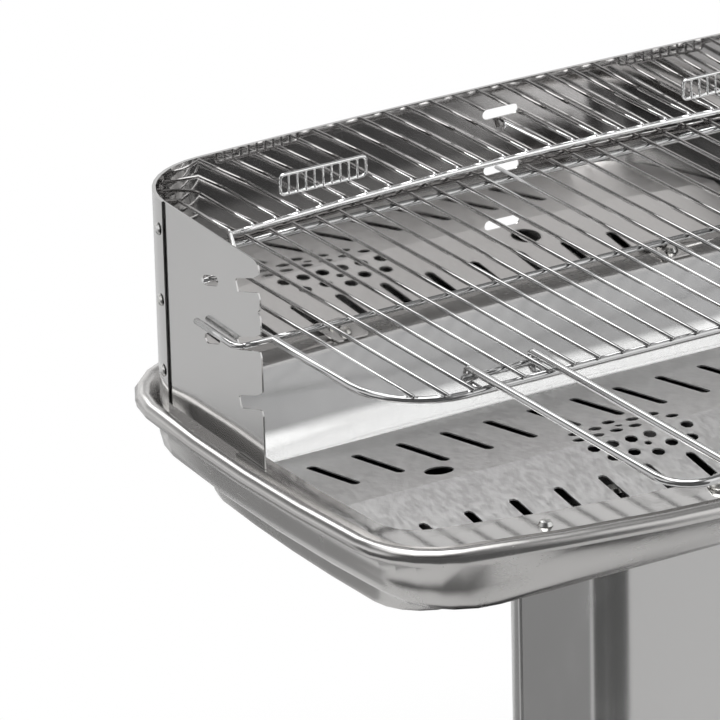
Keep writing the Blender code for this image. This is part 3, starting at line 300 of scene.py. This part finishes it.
def inward_mask(tree, place):
    """1 where a surface faces the middle of the grill, 0 where it faces out."""
    outward = agreement(tree, stretched(tree, place, (1.0, 1.0, 0.0)), facing(tree))
    return between(tree, outward, 1.0, 0.0, -0.02, 0.0)


bowl_steel, tree, shader, place = new_finish("bowl_steel", Metallic=1.0)
grain = use_group(tree, grain_group, Place=place, Lines_per_metre=1500.0, Stretch=0.012)
marks = use_group(tree, marks_group, Place=place, Smears_per_metre=22.0)
height = along_axis(tree, place, Z_AXIS)
under_ledge = between(tree, height, 1.0, 0.0, LEDGE_HEIGHT - LEDGE_FADE, LEDGE_HEIGHT)
basin = sums(tree, "MULTIPLY", inward_mask(tree, place), under_ledge)
under_bend = between(tree, height, 1.0, ABOVE_BEND, WALL_BEND, WALL_BEND + BEND_FADE)
# The low band below the bend, where the painted highlight goes.
low_band_painted_highlight = sums(tree, "MULTIPLY", basin, under_bend)
draw_lines = noise(tree, stretched(tree, place, DRAW_LINES_PER_METRE), detail=4.0,
                   roughness=0.65)
drawn = sums(tree, "MULTIPLY", low_band_painted_highlight, draw_lines)
at_floor = between(tree, height, 1.0, 0.0, FLOOR_TOP, FLOOR_FADED)
facing_up = along_axis(tree, facing(tree), Z_AXIS)
level = between(tree, facing_up, 0.0, 1.0, LEVEL_FROM, LEVEL_FULL)
painted_shade_under_sheet = sums(tree, "MULTIPLY", at_floor, level)

outer_tone = tint(tree, grain["Cloud"], (0.53, 0.52, 0.51), (0.60, 0.59, 0.58))
wall_cloud = between(tree, grain["Cloud"], 0.0, 1.0, 0.3, 0.7)
# Painted shade: the basin under the ledge gets a much darker colour than the same sheet outside.
basin_painted_shade_tone = tint(tree, wall_cloud, (0.33, 0.33, 0.33), (0.41, 0.41, 0.41))
tone = tint(tree, basin, outer_tone, basin_painted_shade_tone)
# Painted highlight: the low band's colour is made almost white for the overhead light it mirrors.
tone = tint(tree, low_band_painted_highlight, tone, (0.95, 0.95, 0.945))
tone = tint(tree, sums(tree, "MULTIPLY", drawn, 0.5), tone, (0.74, 0.74, 0.735))
# Painted shade: the basin floor under the charcoal sheet is coloured nearly black.
tone = tint(tree, painted_shade_under_sheet, tone, (0.05, 0.05, 0.05))
rough = layered(tree, 0.2, (grain["Grain"], 0.09), (marks["Smear"], 0.05), (basin, -0.09))
relief = layered(tree, grain["Grain"], (drawn, 2.0))
connect(tree, shader, tone, rough, relief, depth=0.00001, strength=0.25)
print("bowl steel done")


# %% [markdown]
# ## Windshield: mirror inside, satin outside
# The windshield is cut from sheet that is polished on one side. Inside, it works as a mirror
# and shows the charcoal sheet's holes a second time, but its upper part is duller and darker.
# Outside it is plain satin. One material does both, because the surface's direction against
# the grill's middle says which side it is.

# %% Finish: windshield steel
DULL_FROM, DULL_FULL = 0.868, 0.892

windshield_steel, tree, shader, place = new_finish("windshield_steel", Metallic=1.0)
grain = use_group(tree, grain_group, Place=place, Lines_per_metre=1300.0, Stretch=0.02)
marks = use_group(tree, marks_group, Place=place, Smears_per_metre=17.0)
inward = inward_mask(tree, place)
dulled = between(tree, along_axis(tree, place, Z_AXIS), 0.0, 1.0, DULL_FROM, DULL_FULL)
outside = tint(tree, grain["Cloud"], (0.56, 0.555, 0.55), (0.60, 0.595, 0.59))
inside = tint(tree, marks["Smear"], (0.58, 0.567, 0.56), (0.54, 0.527, 0.52))
inside = tint(tree, dulled, inside, (0.42, 0.41, 0.405))
tone = tint(tree, inward, outside, inside)
satin = layered(tree, 0.09, (grain["Grain"], 0.06))
mirror = layered(tree, 0.02, (marks["Smear"], 0.03), (dulled, 0.02))
rough = crossfade(tree, inward, satin, mirror)
relief = layered(tree, 0.0, (grain["Grain"], 0.5), (marks["Scuff"], -0.4))
connect(tree, shader, tone, rough, relief, depth=0.000005, strength=0.15)
print("windshield steel done")


# %% [markdown]
# ## Rolled sheet under the charcoal
# The charcoal lies on a duller sheet. Its rolled surface is mottled: short strokes a few
# millimetres long, some a shade lighter and some a shade darker. A noise drawn out along one
# slanted direction makes the strokes, and they change the tone and the gloss together, as on
# the real sheet. A second, broad noise lets the tone drift.

# %% Group: rolled mottle
mottle_group, given, made = new_group(
    "Rolled mottle", [("Place", VECTOR, None), ("Strokes per metre", FLOAT, 330.0)],
    [("Mottle", FLOAT), ("Drift", FLOAT)])
STROKE_TURN = 0.35
STROKE_SQUEEZE = 0.38
DRIFTS_PER_METRE = 9.0

place = given.outputs["Place"]
scaled = {0: place, "Scale": given.outputs["Strokes per metre"]}
stroke_place = add_node(mottle_group, "ShaderNodeVectorMath", scaled, operation="SCALE").outputs[0]
turned = {"Vector": stroke_place, "Rotation": (0, 0, STROKE_TURN),
          "Scale": (1.0, STROKE_SQUEEZE, 1.0)}
stroke_place = add_node(mottle_group, "ShaderNodeMapping", turned).outputs[0]
strokes = noise(mottle_group, stroke_place, detail=3.0, roughness=0.6)
feed(mottle_group, made.inputs["Mottle"], between(mottle_group, strokes, 0.0, 1.0, 0.32, 0.68))
drift = noise(mottle_group, place, DRIFTS_PER_METRE, detail=3.0)
feed(mottle_group, made.inputs["Drift"], drift)
print("rolled mottle has", len(mottle_group.nodes), "nodes")

# %% Finish: charcoal sheet
grate_steel, tree, shader, place = new_finish("grate_steel", Metallic=1.0)
mottle = use_group(tree, mottle_group, Place=place, Strokes_per_metre=330.0)
marks = use_group(tree, marks_group, Place=place, Smears_per_metre=40.0)
tone = tint(tree, mottle["Mottle"], (0.83, 0.825, 0.82), (0.90, 0.895, 0.89))
tone = tint(tree, sums(tree, "MULTIPLY", mottle["Drift"], 0.4), tone, (0.84, 0.835, 0.83))
rough = layered(tree, 0.36, (mottle["Mottle"], 0.12))
relief = layered(tree, mottle["Mottle"], (marks["Scuff"], -0.3))
connect(tree, shader, tone, rough, relief, depth=0.00002, strength=0.35)
print("charcoal sheet done")


# %% [markdown]
# ## Chromed wire
# The grid, its two handles and the warming rack are bent from round wire and plated after
# welding. Plating is bright but never perfectly even: its gloss changes in soft patches, and
# it carries fine draw lines along the wire. The rack hangs clear of the fire; its copy of the
# plate is painted much paler than the grid's as a painted highlight, so one function makes both.

# %% Finish: chromed wire
def chromed(name, low, high):
    """Chrome plate on wire, its grey drifting softly between two levels."""
    finish, tree, shader, place = new_finish(name, Metallic=1.0)
    grain = use_group(tree, grain_group, Place=place, Lines_per_metre=2600.0, Stretch=0.01)
    marks = use_group(tree, marks_group, Place=place, Smears_per_metre=60.0)
    tone = tint(tree, grain["Cloud"], (low, low, low), (high, high, high))
    rough = layered(tree, 0.07, (marks["Smear"], 0.07), (grain["Grain"], 0.04))
    connect(tree, shader, tone, rough, grain["Grain"], depth=0.00001, strength=0.4)
    return finish


chrome_wire = chromed("chrome_wire", 0.56, 0.66)
# Painted highlight: the rack's copy of the plate is much paler than the grid's.
rack_wire_painted_highlight = chromed("rack_wire_painted_highlight", 0.86, 0.94)
print("chromed wire done")


# %% [markdown]
# ## Brushed column
# The column's two shells are satin steel brushed upright. Stretching the noise along Z makes
# the brush lines, and broad smears in the gloss keep the tall plain faces from looking printed.

# %% Finish: column steel
BRUSH_LINES_PER_METRE = (1700.0, 1700.0, 16.0)

column_steel, tree, shader, place = new_finish("column_steel", Metallic=1.0)
brush = noise(tree, stretched(tree, place, BRUSH_LINES_PER_METRE), detail=3.0, roughness=0.6)
marks = use_group(tree, marks_group, Place=place, Smears_per_metre=12.0)
tone = tint(tree, brush, (0.55, 0.545, 0.54), (0.58, 0.575, 0.57))
rough = layered(tree, 0.2, (brush, 0.05), (marks["Smear"], 0.05))
connect(tree, shader, tone, rough, brush, depth=0.00001, strength=0.25)
print("column steel done")


# %% [markdown]
# ## Polished strip and zinc fasteners
# The strip on the ledge is polished almost like the inside of the windshield. Bolts, screws,
# nuts, studs, rivets and the axle are bright zinc, whose plating has a faint bloom that goes
# from cool to warm.

# %% Finishes: strip and zinc
strip_steel, tree, shader, place = new_finish("strip_steel", Metallic=1.0)
grain = use_group(tree, grain_group, Place=place, Lines_per_metre=1600.0, Stretch=0.01)
marks = use_group(tree, marks_group, Place=place, Smears_per_metre=26.0)
tone = tint(tree, marks["Smear"], (0.66, 0.65, 0.64), (0.60, 0.59, 0.58))
rough = layered(tree, 0.06, (marks["Smear"], 0.08))
connect(tree, shader, tone, rough, grain["Grain"], depth=0.00001, strength=0.3)

zinc_fastener, tree, shader, place = new_finish("zinc_fastener", Metallic=1.0)
bloom = noise(tree, place, scale=170.0, detail=3.0)
tone = tint(tree, bloom, (0.66, 0.67, 0.69), (0.74, 0.72, 0.66))
rough = between(tree, bloom, 0.18, 0.32)
connect(tree, shader, tone, rough, bloom, depth=0.00005, strength=0.3)
print("strip and zinc done")


# %% [markdown]
# ## Powder coat, rubber and plastic
# The last finishes are low down and black. The base is powder coat with its fine orange peel,
# the tyres and feet are matt rubber with tiny pores, and the hubs and axle caps are finely
# grained plastic. Dust smears lighten the paint and the rubber a little.

# %% Finishes: powder coat, rubber and plastic
base_paint, tree, shader, place = new_finish("base_paint", Metallic=0.0)
peel = noise(tree, place, scale=520.0)
dust = use_group(tree, marks_group, Place=place, Smears_per_metre=15.0)
tone = tint(tree, dust["Smear"], (0.025, 0.025, 0.027), (0.045, 0.044, 0.042))
rough = layered(tree, 0.42, (dust["Smear"], 0.15))
connect(tree, shader, tone, rough, peel, depth=0.0002, strength=0.35)

black_rubber, tree, shader, place = new_finish("black_rubber", Metallic=0.0)
pores = noise(tree, place, scale=900.0, detail=3.0)
dust = use_group(tree, marks_group, Place=place, Smears_per_metre=45.0)
tone = tint(tree, dust["Smear"], (0.018, 0.018, 0.018), (0.05, 0.048, 0.045))
rough = between(tree, pores, 0.72, 0.92)
connect(tree, shader, tone, rough, pores, depth=0.0002, strength=0.4)

hub_plastic, tree, shader, place = new_finish("hub_plastic", Metallic=0.0)
grained = {"Vector": place, "Scale": 1100.0}
leather = add_node(tree, "ShaderNodeTexVoronoi", grained).outputs["Distance"]
tone = tint(tree, leather, (0.035, 0.035, 0.037), (0.055, 0.055, 0.057))
rough = between(tree, leather, 0.4, 0.55)
connect(tree, shader, tone, rough, leather, depth=0.0001, strength=0.4)
print("powder coat, rubber and plastic done")


# %% [markdown]
# ## Which finish goes where
# The record says which body each solid belongs to and which material slot it has. The table
# adds this lesson's finish for each kind of solid, and how wide an angle is shaded smooth.
# Six-sided rods need a wide angle, and pressed sheet a narrower one, so that its folds stay
# crisp. What the table leaves out is a fastener or the axle, and these are zinc.

# %% Finishes by name
FINISHES = {  # start of the node's name: finish, widest smooth angle in degrees
    "brazier_bowl": (bowl_steel, 62),
    "windshield": (windshield_steel, 32),
    "charcoal_grate": (grate_steel, 10),
    "cooking_grid": (chrome_wire, 66),
    "grid_handle": (chrome_wire, 66),
    "warming_rack": (rack_wire_painted_highlight, 66),
    "column": (column_steel, 35),
    "ledge_strip": (strip_steel, 32),
    "base_pan": (base_paint, 50),
    "tyre": (black_rubber, 35),
    "front_foot": (black_rubber, 35),
    "wheel_left": (hub_plastic, 35),
    "wheel_right": (hub_plastic, 35),
    "axle_cap": (hub_plastic, 45),
}
ZINC_FINISH = (zinc_fastener, 50)
body_of = {name: body for body, names in frame["record"]["behaviour"]["bodies"].items()
           for name in names}


def finish_for(name):
    """The finish and the widest smooth angle of a solid."""
    found = [pair for start, pair in FINISHES.items() if name.startswith(start)]
    return found[0] if found else ZINC_FINISH


in_zinc = [name for name in nodes if finish_for(name) == ZINC_FINISH]
print(len(nodes) - len(in_zinc), "solids in the table and", len(in_zinc), "in zinc")


# %% [markdown]
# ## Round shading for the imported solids
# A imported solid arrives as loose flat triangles, so polished metal would show every facet. The
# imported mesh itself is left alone. A duplicate is merged into one skin, its triangles are
# joined back into quads, and it is shaded smooth wherever two faces meet at less than its
# angle. On the bowl the floor's edges are marked sharp as well, or the smooth shading would
# bend the wall's reflection. The duplicate then stands for the solid and rides on its body.

# %% Merge and smooth a duplicate of each solid
MERGE_DISTANCE = 0.00002
FLAT_ANGLE = math.radians(0.3)
ANY_SHAPE = math.radians(180)
FLOOR_MARGIN = 0.001


def only(piece):
    """Selects one object and nothing else."""
    bpy.ops.object.select_all(action="DESELECT")
    piece.select_set(True)
    bpy.context.view_layer.objects.active = piece


def smooth_skin(name, solid, angle):
    """A merged duplicate of a solid, shaded smooth below an angle in degrees."""
    only(solid)
    bpy.ops.object.duplicate()
    skin = bpy.context.active_object
    skin.name = name + "_skin"
    skin.parent = None
    bpy.ops.object.mode_set(mode="EDIT")
    bpy.ops.mesh.select_all(action="SELECT")
    bpy.ops.mesh.remove_doubles(threshold=MERGE_DISTANCE)
    bpy.ops.mesh.tris_convert_to_quads(face_threshold=FLAT_ANGLE, shape_threshold=ANY_SHAPE)
    bpy.ops.object.mode_set(mode="OBJECT")
    bpy.ops.object.shade_smooth_by_angle(angle=math.radians(angle))
    return skin


def crease_floor(mesh):
    """Marks as sharp every edge that lies no higher than the basin's floor."""
    for edge in mesh.edges:
        top = max(mesh.vertices[end].co.z for end in edge.vertices)
        edge.use_edge_sharp = edge.use_edge_sharp or top < FLOOR_HEIGHT + FLOOR_MARGIN


def dress(piece, body, finish):
    """Gives a piece its finish and lets it ride on its body."""
    piece.data.materials.clear()
    piece.data.materials.append(finish)
    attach(piece, body)


skins = {}
for name, solid in sorted(nodes.items()):
    finish, angle = finish_for(name)
    skin = smooth_skin(name, solid, angle)
    dress(skin, body_of[name], finish)
    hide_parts(name)
    skins[name] = skin
crease_floor(skins["brazier_bowl"].data)
print(len(skins), "skins,", sum(len(skin.data.polygons) for skin in skins.values()), "faces")


# %% [markdown]
# ## True normals for the mirror sheets
# A mirror shows the smallest error of a normal, and the slots cut through the windshield leave
# long thin triangles that shade unevenly. The sheet's form is known, though: upright walls over
# one plan line, which is straight along the two ends, round at the corners and slightly bowed
# along the back. So every corner of every wall face gets the normal of that plan line at its
# own place, and the cut edges and hems keep their own.

# %% Normals from the windshield's plan
HALF_WIDTH = 0.2735
CORNER_RADIUS = 0.0585
CORNER_START_Y = 0.0985
FLARE = math.radians(2.3)
BACK_BOW = 0.006
WALL_AGREEMENT = 0.9
corner_x = HALF_WIDTH - CORNER_RADIUS * math.cos(FLARE)
corner_y = CORNER_START_Y - CORNER_RADIUS * math.sin(FLARE)


def plan_normal(point):
    """Outward direction of the windshield's plan line beside a point."""
    side = 1.0 if point.x > 0 else -1.0
    across = abs(point.x) - corner_x
    if across <= 0:
        out = Vector((2 * BACK_BOW * abs(point.x) / corner_x ** 2, 1.0))
    else:
        turn = max(math.atan2(point.y - corner_y, across), FLARE)
        out = Vector((math.cos(turn), math.sin(turn)))
    out.normalize()
    return Vector((side * out.x, out.y, 0.0))


def carry_plan_normals(mesh):
    """Gives the wall faces of a mesh the plan's normals and returns their number."""
    normals = [corner.vector.copy() for corner in mesh.corner_normals]
    walls = 0
    for face in mesh.polygons:
        lean = face.normal.dot(plan_normal(face.center))
        if abs(lean) < WALL_AGREEMENT:
            continue
        walls += 1
        for corner in face.loop_indices:
            point = mesh.vertices[mesh.loops[corner].vertex_index].co
            normals[corner] = plan_normal(point) * (1.0 if lean > 0 else -1.0)
    mesh.normals_split_custom_set(normals)
    return walls


for name in ("windshield_back", "windshield_side_left", "windshield_side_right"):
    print(name, carry_plan_normals(skins[name].data), "wall faces carry the plan's normals")


# %% [markdown]
# ## Bars of the rack's frames
# Two small upright frames are welded on the warming rack's rods, each a bent wire filled with
# short upright bars. One bar is a thin cylinder. It is cut through near both ends with bisect,
# so that only its last bit can be spread out, and this gives the fillets of the welds.

# %% One bar
FRAME_LENGTH = 0.060
FRAME_HEIGHT = 0.0125
BAR_WIRE = 0.0008
BAR_SIDES = 12
FILLET_HEIGHT = 0.002
FILLET_SPREAD = 1.7
END_MARGIN = 0.0005


def shaped_bar(where):
    """An upright bar whose ends spread into small weld fillets."""
    bpy.ops.object.select_all(action="DESELECT")
    bpy.ops.mesh.primitive_cylinder_add(vertices=BAR_SIDES, radius=BAR_WIRE,
                                        depth=FRAME_HEIGHT, location=where,
                                        end_fill_type="NOTHING")
    bar = bpy.context.active_object
    bpy.ops.object.transform_apply(location=True)
    bpy.ops.object.mode_set(mode="EDIT")
    for side in (-1, 1):
        cut = where + Vector((0, 0, side * (FRAME_HEIGHT / 2 - FILLET_HEIGHT)))
        bpy.ops.mesh.select_all(action="SELECT")
        bpy.ops.mesh.bisect(plane_co=cut, plane_no=(0, 0, 1))
    bpy.ops.object.mode_set(mode="OBJECT")
    bpy.ops.object.shade_smooth()
    for vertex in bar.data.vertices:
        if abs(vertex.co.z - where.z) > FRAME_HEIGHT / 2 - END_MARGIN:
            vertex.co.x = where.x + (vertex.co.x - where.x) * FILLET_SPREAD
            vertex.co.y = where.y + (vertex.co.y - where.y) * FILLET_SPREAD
    return bar


print("a bar is", FRAME_HEIGHT * 1000, "mm high")


# %% [markdown]
# ## Plain frames on the warming rack
# A flat square with its corners rounded by bevel gives the path of the bent wire; turned into a
# curve, it takes a round section. The bars stand along it at even steps, and all is joined into
# one piece. The frames stand on top of the rods, and the rack's own box says where that is.

# %% Rack frames
FRAME_WIRE = 0.0011
FRAME_CORNER = 0.003
CORNER_STEPS = 5
WIRE_SMOOTHNESS = 4
BAR_COUNT = 9
RACK_ROD_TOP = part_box("warming_rack")[1].z
FRAME_MIDDLES = {"left": -0.1517, "right": 0.138}
FRAME_Y = 0.119


def frame_outline(middle):
    """The bent wire round one frame, as a mesh."""
    bpy.ops.object.select_all(action="DESELECT")
    bpy.ops.mesh.primitive_plane_add(size=1, location=middle, rotation=(math.pi / 2, 0, 0))
    bpy.context.active_object.scale = (FRAME_LENGTH, FRAME_HEIGHT, 1)
    bpy.ops.object.transform_apply()
    bpy.ops.object.mode_set(mode="EDIT")
    bpy.ops.mesh.select_all(action="SELECT")
    bpy.ops.mesh.bevel(offset=FRAME_CORNER, segments=CORNER_STEPS, affect="VERTICES")
    bpy.ops.mesh.delete(type="ONLY_FACE")
    bpy.ops.object.mode_set(mode="OBJECT")
    bpy.ops.object.convert(target="CURVE")
    wire = bpy.context.active_object.data
    wire.bevel_depth = FRAME_WIRE
    wire.bevel_resolution = WIRE_SMOOTHNESS
    bpy.ops.object.convert(target="MESH")
    bpy.ops.object.shade_smooth()
    return bpy.context.active_object


def rack_frame(word, middle_x):
    """One welded frame: the bent outline and its bars, joined into one piece."""
    middle = Vector((middle_x, FRAME_Y, RACK_ROD_TOP + FRAME_WIRE + FRAME_HEIGHT / 2))
    outline = frame_outline(middle)
    bars = []
    for number in range(BAR_COUNT):
        step = (number + 1) / (BAR_COUNT + 1) - 0.5
        bars.append(shaped_bar(middle + Vector((step * FRAME_LENGTH, 0, 0))))
    only(outline)
    for bar in bars:
        bar.select_set(True)
    bpy.ops.object.join()
    outline.name = "rack_frame_" + word
    dress(outline, "warming_rack", rack_wire_painted_highlight)
    return outline


for word, middle_x in FRAME_MIDDLES.items():
    welded_frame = rack_frame(word, middle_x)
    print(welded_frame.name, len(welded_frame.data.polygons), "faces")


# %% [markdown]
# ## Room light
# A pale floor and a soft pale room light the grill. Metal needs more than an even glow, so the
# room is bright near the horizon, overhead, ahead on the right and in a small patch high at the
# back that draws a thin line along every rod. It is darker high up, at the back left, and on the
# side where someone would stand to look. The camera sees plain white.

# %% Room light
WHITE = (1.0, 1.0, 1.0, 1.0)
HORIZON_LIGHT, HIGH_LIGHT = 1.0, 0.22
HORIZON_ENDS, HIGH_STARTS = 0.2, 0.7  # how far a direction points up, from 0 to 1


def glow(tree, direction, towards, wide, soft):
    """1 within a cone round a direction, falling softly to 0 at its edge."""
    core = math.cos(math.radians(wide))
    edge = math.cos(math.radians(wide + soft))
    aim = tuple(Vector(towards).normalized())
    return between(tree, agreement(tree, direction, aim), 0.0, 1.0, edge, core)


def lit(tree, level, patch, strength):
    """A level of light raised to a strength where a patch is."""
    return sums(tree, "MAXIMUM", level, sums(tree, "MULTIPLY", patch, strength))


def dimmed(tree, level, patch, share):
    """A level of light with a share of it taken away where a patch is."""
    return sums(tree, "MULTIPLY", level, layered(tree, 1.0, (patch, -share)))


PATCHES = (  # name, direction, width and soft edge in degrees, what it does and how strongly
    ("overhead", (-0.25, 0.0, 1.0), 22, 16, lit, 1.6),
    ("viewer's side", (-0.55, -0.8, 0.1), 34, 26, dimmed, 0.85),
    ("back left", (-0.45, 0.70, 0.50), 12, 16, dimmed, 0.6),
    ("front right", (0.52, -0.68, 0.50), 18, 8, lit, 1.15),
    ("high at the back", (0.05, 0.75, 0.66), 11, 8, lit, 3.0),
)

world = bpy.data.worlds.new("studio")
bpy.context.scene.world = world
world.use_nodes = True
tree = world.node_tree
direction = add_node(tree, "ShaderNodeTexCoord").outputs["Generated"]
up = along_axis(tree, direction, Z_AXIS)
level = between(tree, up, HORIZON_LIGHT, HIGH_LIGHT, HORIZON_ENDS, HIGH_STARTS)
for name, towards, wide, soft, change, amount in PATCHES:
    level = change(tree, level, glow(tree, direction, towards, wide, soft), amount)
    print("room:", name, change.__name__, amount)
to_camera = add_node(tree, "ShaderNodeLightPath").outputs["Is Camera Ray"]
background = tree.nodes["Background"]
background.inputs["Color"].default_value = WHITE
feed(tree, background.inputs["Strength"], crossfade(tree, to_camera, level, 1.0))
print("room light done")


# %% [markdown]
# ## Floor
# The floor is a wide, matt, pale sheet with a very faint speckle. Close to the grill it takes
# the shadow. Further away the camera sees it turn to plain white, so that floor and room meet
# without a line, and only the camera does: what the metal mirrors is still the real floor.

# %% Floor
FLOOR_SIZE = 60
WHITE_FROM, WHITE_FULL = 0.5, 1.3  # metres from the middle of the grill

bpy.ops.object.select_all(action="DESELECT")
bpy.ops.mesh.primitive_plane_add(size=FLOOR_SIZE, location=(0, 0, 0))
floor = bpy.context.active_object
floor.name = "floor"
floor_white, tree, shader, place = new_finish("floor_white", Roughness=0.9)
speck = noise(tree, place, scale=3.0, detail=6.0)
connect(tree, shader, tint(tree, speck, (0.80, 0.80, 0.80), (0.84, 0.84, 0.84)))
away = add_node(tree, "ShaderNodeVectorMath", {0: place}, operation="LENGTH").outputs["Value"]
far = between(tree, away, 0.0, 1.0, WHITE_FROM, WHITE_FULL)
to_camera = add_node(tree, "ShaderNodeLightPath").outputs["Is Camera Ray"]
plain = add_node(tree, "ShaderNodeEmission", {"Color": WHITE, "Strength": 1.0}).outputs[0]
ends = {0: sums(tree, "MULTIPLY", far, to_camera), 1: shader.outputs[0], 2: plain}
mix = add_node(tree, "ShaderNodeMixShader", ends).outputs[0]
feed(tree, tree.nodes["Material Output"].inputs["Surface"], mix)
floor.data.materials.append(floor_white)
print("floor done")


# %% [markdown]
# ## Overhead lamp
# One large soft lamp hangs above the grill, a little to the left and behind. It gives a soft
# shadow on the floor. It is weak, because the room already does most of the lighting.

# %% Lamp
SOFTBOX_PLACE = Vector((-0.3, 0.1, 2.6))
SOFTBOX_AIM = Vector((0, 0, 0.8))
SOFTBOX_SIZE = (1.6, 1.2)
SOFTBOX_WATTS = 14

softbox = bpy.data.lights.new("overhead_softbox", "AREA")
softbox.shape = "RECTANGLE"
softbox.size, softbox.size_y = SOFTBOX_SIZE
softbox.energy = SOFTBOX_WATTS
holder = bpy.data.objects.new("overhead_softbox", softbox)
bpy.context.scene.collection.objects.link(holder)
holder.location = SOFTBOX_PLACE
holder.rotation_euler = (SOFTBOX_AIM - SOFTBOX_PLACE).to_track_quat("-Z", "Y").to_euler()
print("lamp of", SOFTBOX_WATTS, "watts done")


# %% [markdown]
# ## Dark flags and a grey card
# Round corners of polished steel look dark in a photograph because they mirror the dark side
# of the studio, where the photographer stands. Two dark screens there do the same. A grey card
# on the floor behind the left side tones down what the flat left face of the column mirrors.
# Only reflections show them: the camera doesn't see them, and they cast no shadow.

# %% Flags and card
SCREENS = (  # name, place, turn in degrees, size in metres, darkest and lightest grey
    ("front_flag", (-0.55, -0.8, 0.5), (90, 0, -34.5), (1.9, 1.0), 0.11, 0.14),
    ("side_flag", (-1.0, -0.15, 0.42), (90, 0, -90), (1.1, 0.8), 0.11, 0.14),
    ("floor_card", (-0.85, 1.15, 0.01), (0, 0, -35), (1.1, 0.9), 0.30, 0.36),
)


def screen(name, location, turn, size, dark, light):
    """A woven screen beside the grill that only reflections see."""
    bpy.ops.object.select_all(action="DESELECT")
    rotation = [math.radians(angle) for angle in turn]
    bpy.ops.mesh.primitive_plane_add(size=1, location=location, rotation=rotation)
    new_screen = bpy.context.active_object
    new_screen.name = name
    new_screen.scale = (*size, 1)
    bpy.ops.object.transform_apply()
    new_screen.visible_camera = False
    new_screen.visible_shadow = False
    new_screen.visible_diffuse = False
    cloth, tree, shader, place = new_finish(name + "_cloth", Roughness=1.0)
    weave = noise(tree, place, scale=400.0)
    connect(tree, shader, tint(tree, weave, (dark, dark, dark), (light, light, light)))
    new_screen.data.materials.append(cloth)


for row in SCREENS:
    screen(*row)
    print(row[0], "done")


# %% [markdown]
# ## Camera
# A long lens from over the left front corner. Its place and lens come from the spacing of the
# cooking rods and the square corner of the windshield in the picture.

# %% Camera
SENSOR_WIDTH = 36.0
FOCAL_LENGTH = 340.33
CAMERA_PLACE = (-2.0946, -3.16911, 2.34416)
CAMERA_TURN = Euler((1.18457186, 0.0236716, -0.54836957))
FAR_CLIP = 100.0

lens = bpy.data.cameras.new("camera")
lens.sensor_width = SENSOR_WIDTH
lens.lens = FOCAL_LENGTH
lens.clip_end = FAR_CLIP
camera = bpy.data.objects.new("camera", lens)
bpy.context.scene.collection.objects.link(camera)
camera.location = CAMERA_PLACE
camera.rotation_euler = CAMERA_TURN
bpy.context.scene.camera = camera
bpy.context.scene.view_settings.view_transform = "Standard"
print("camera at", CAMERA_PLACE)
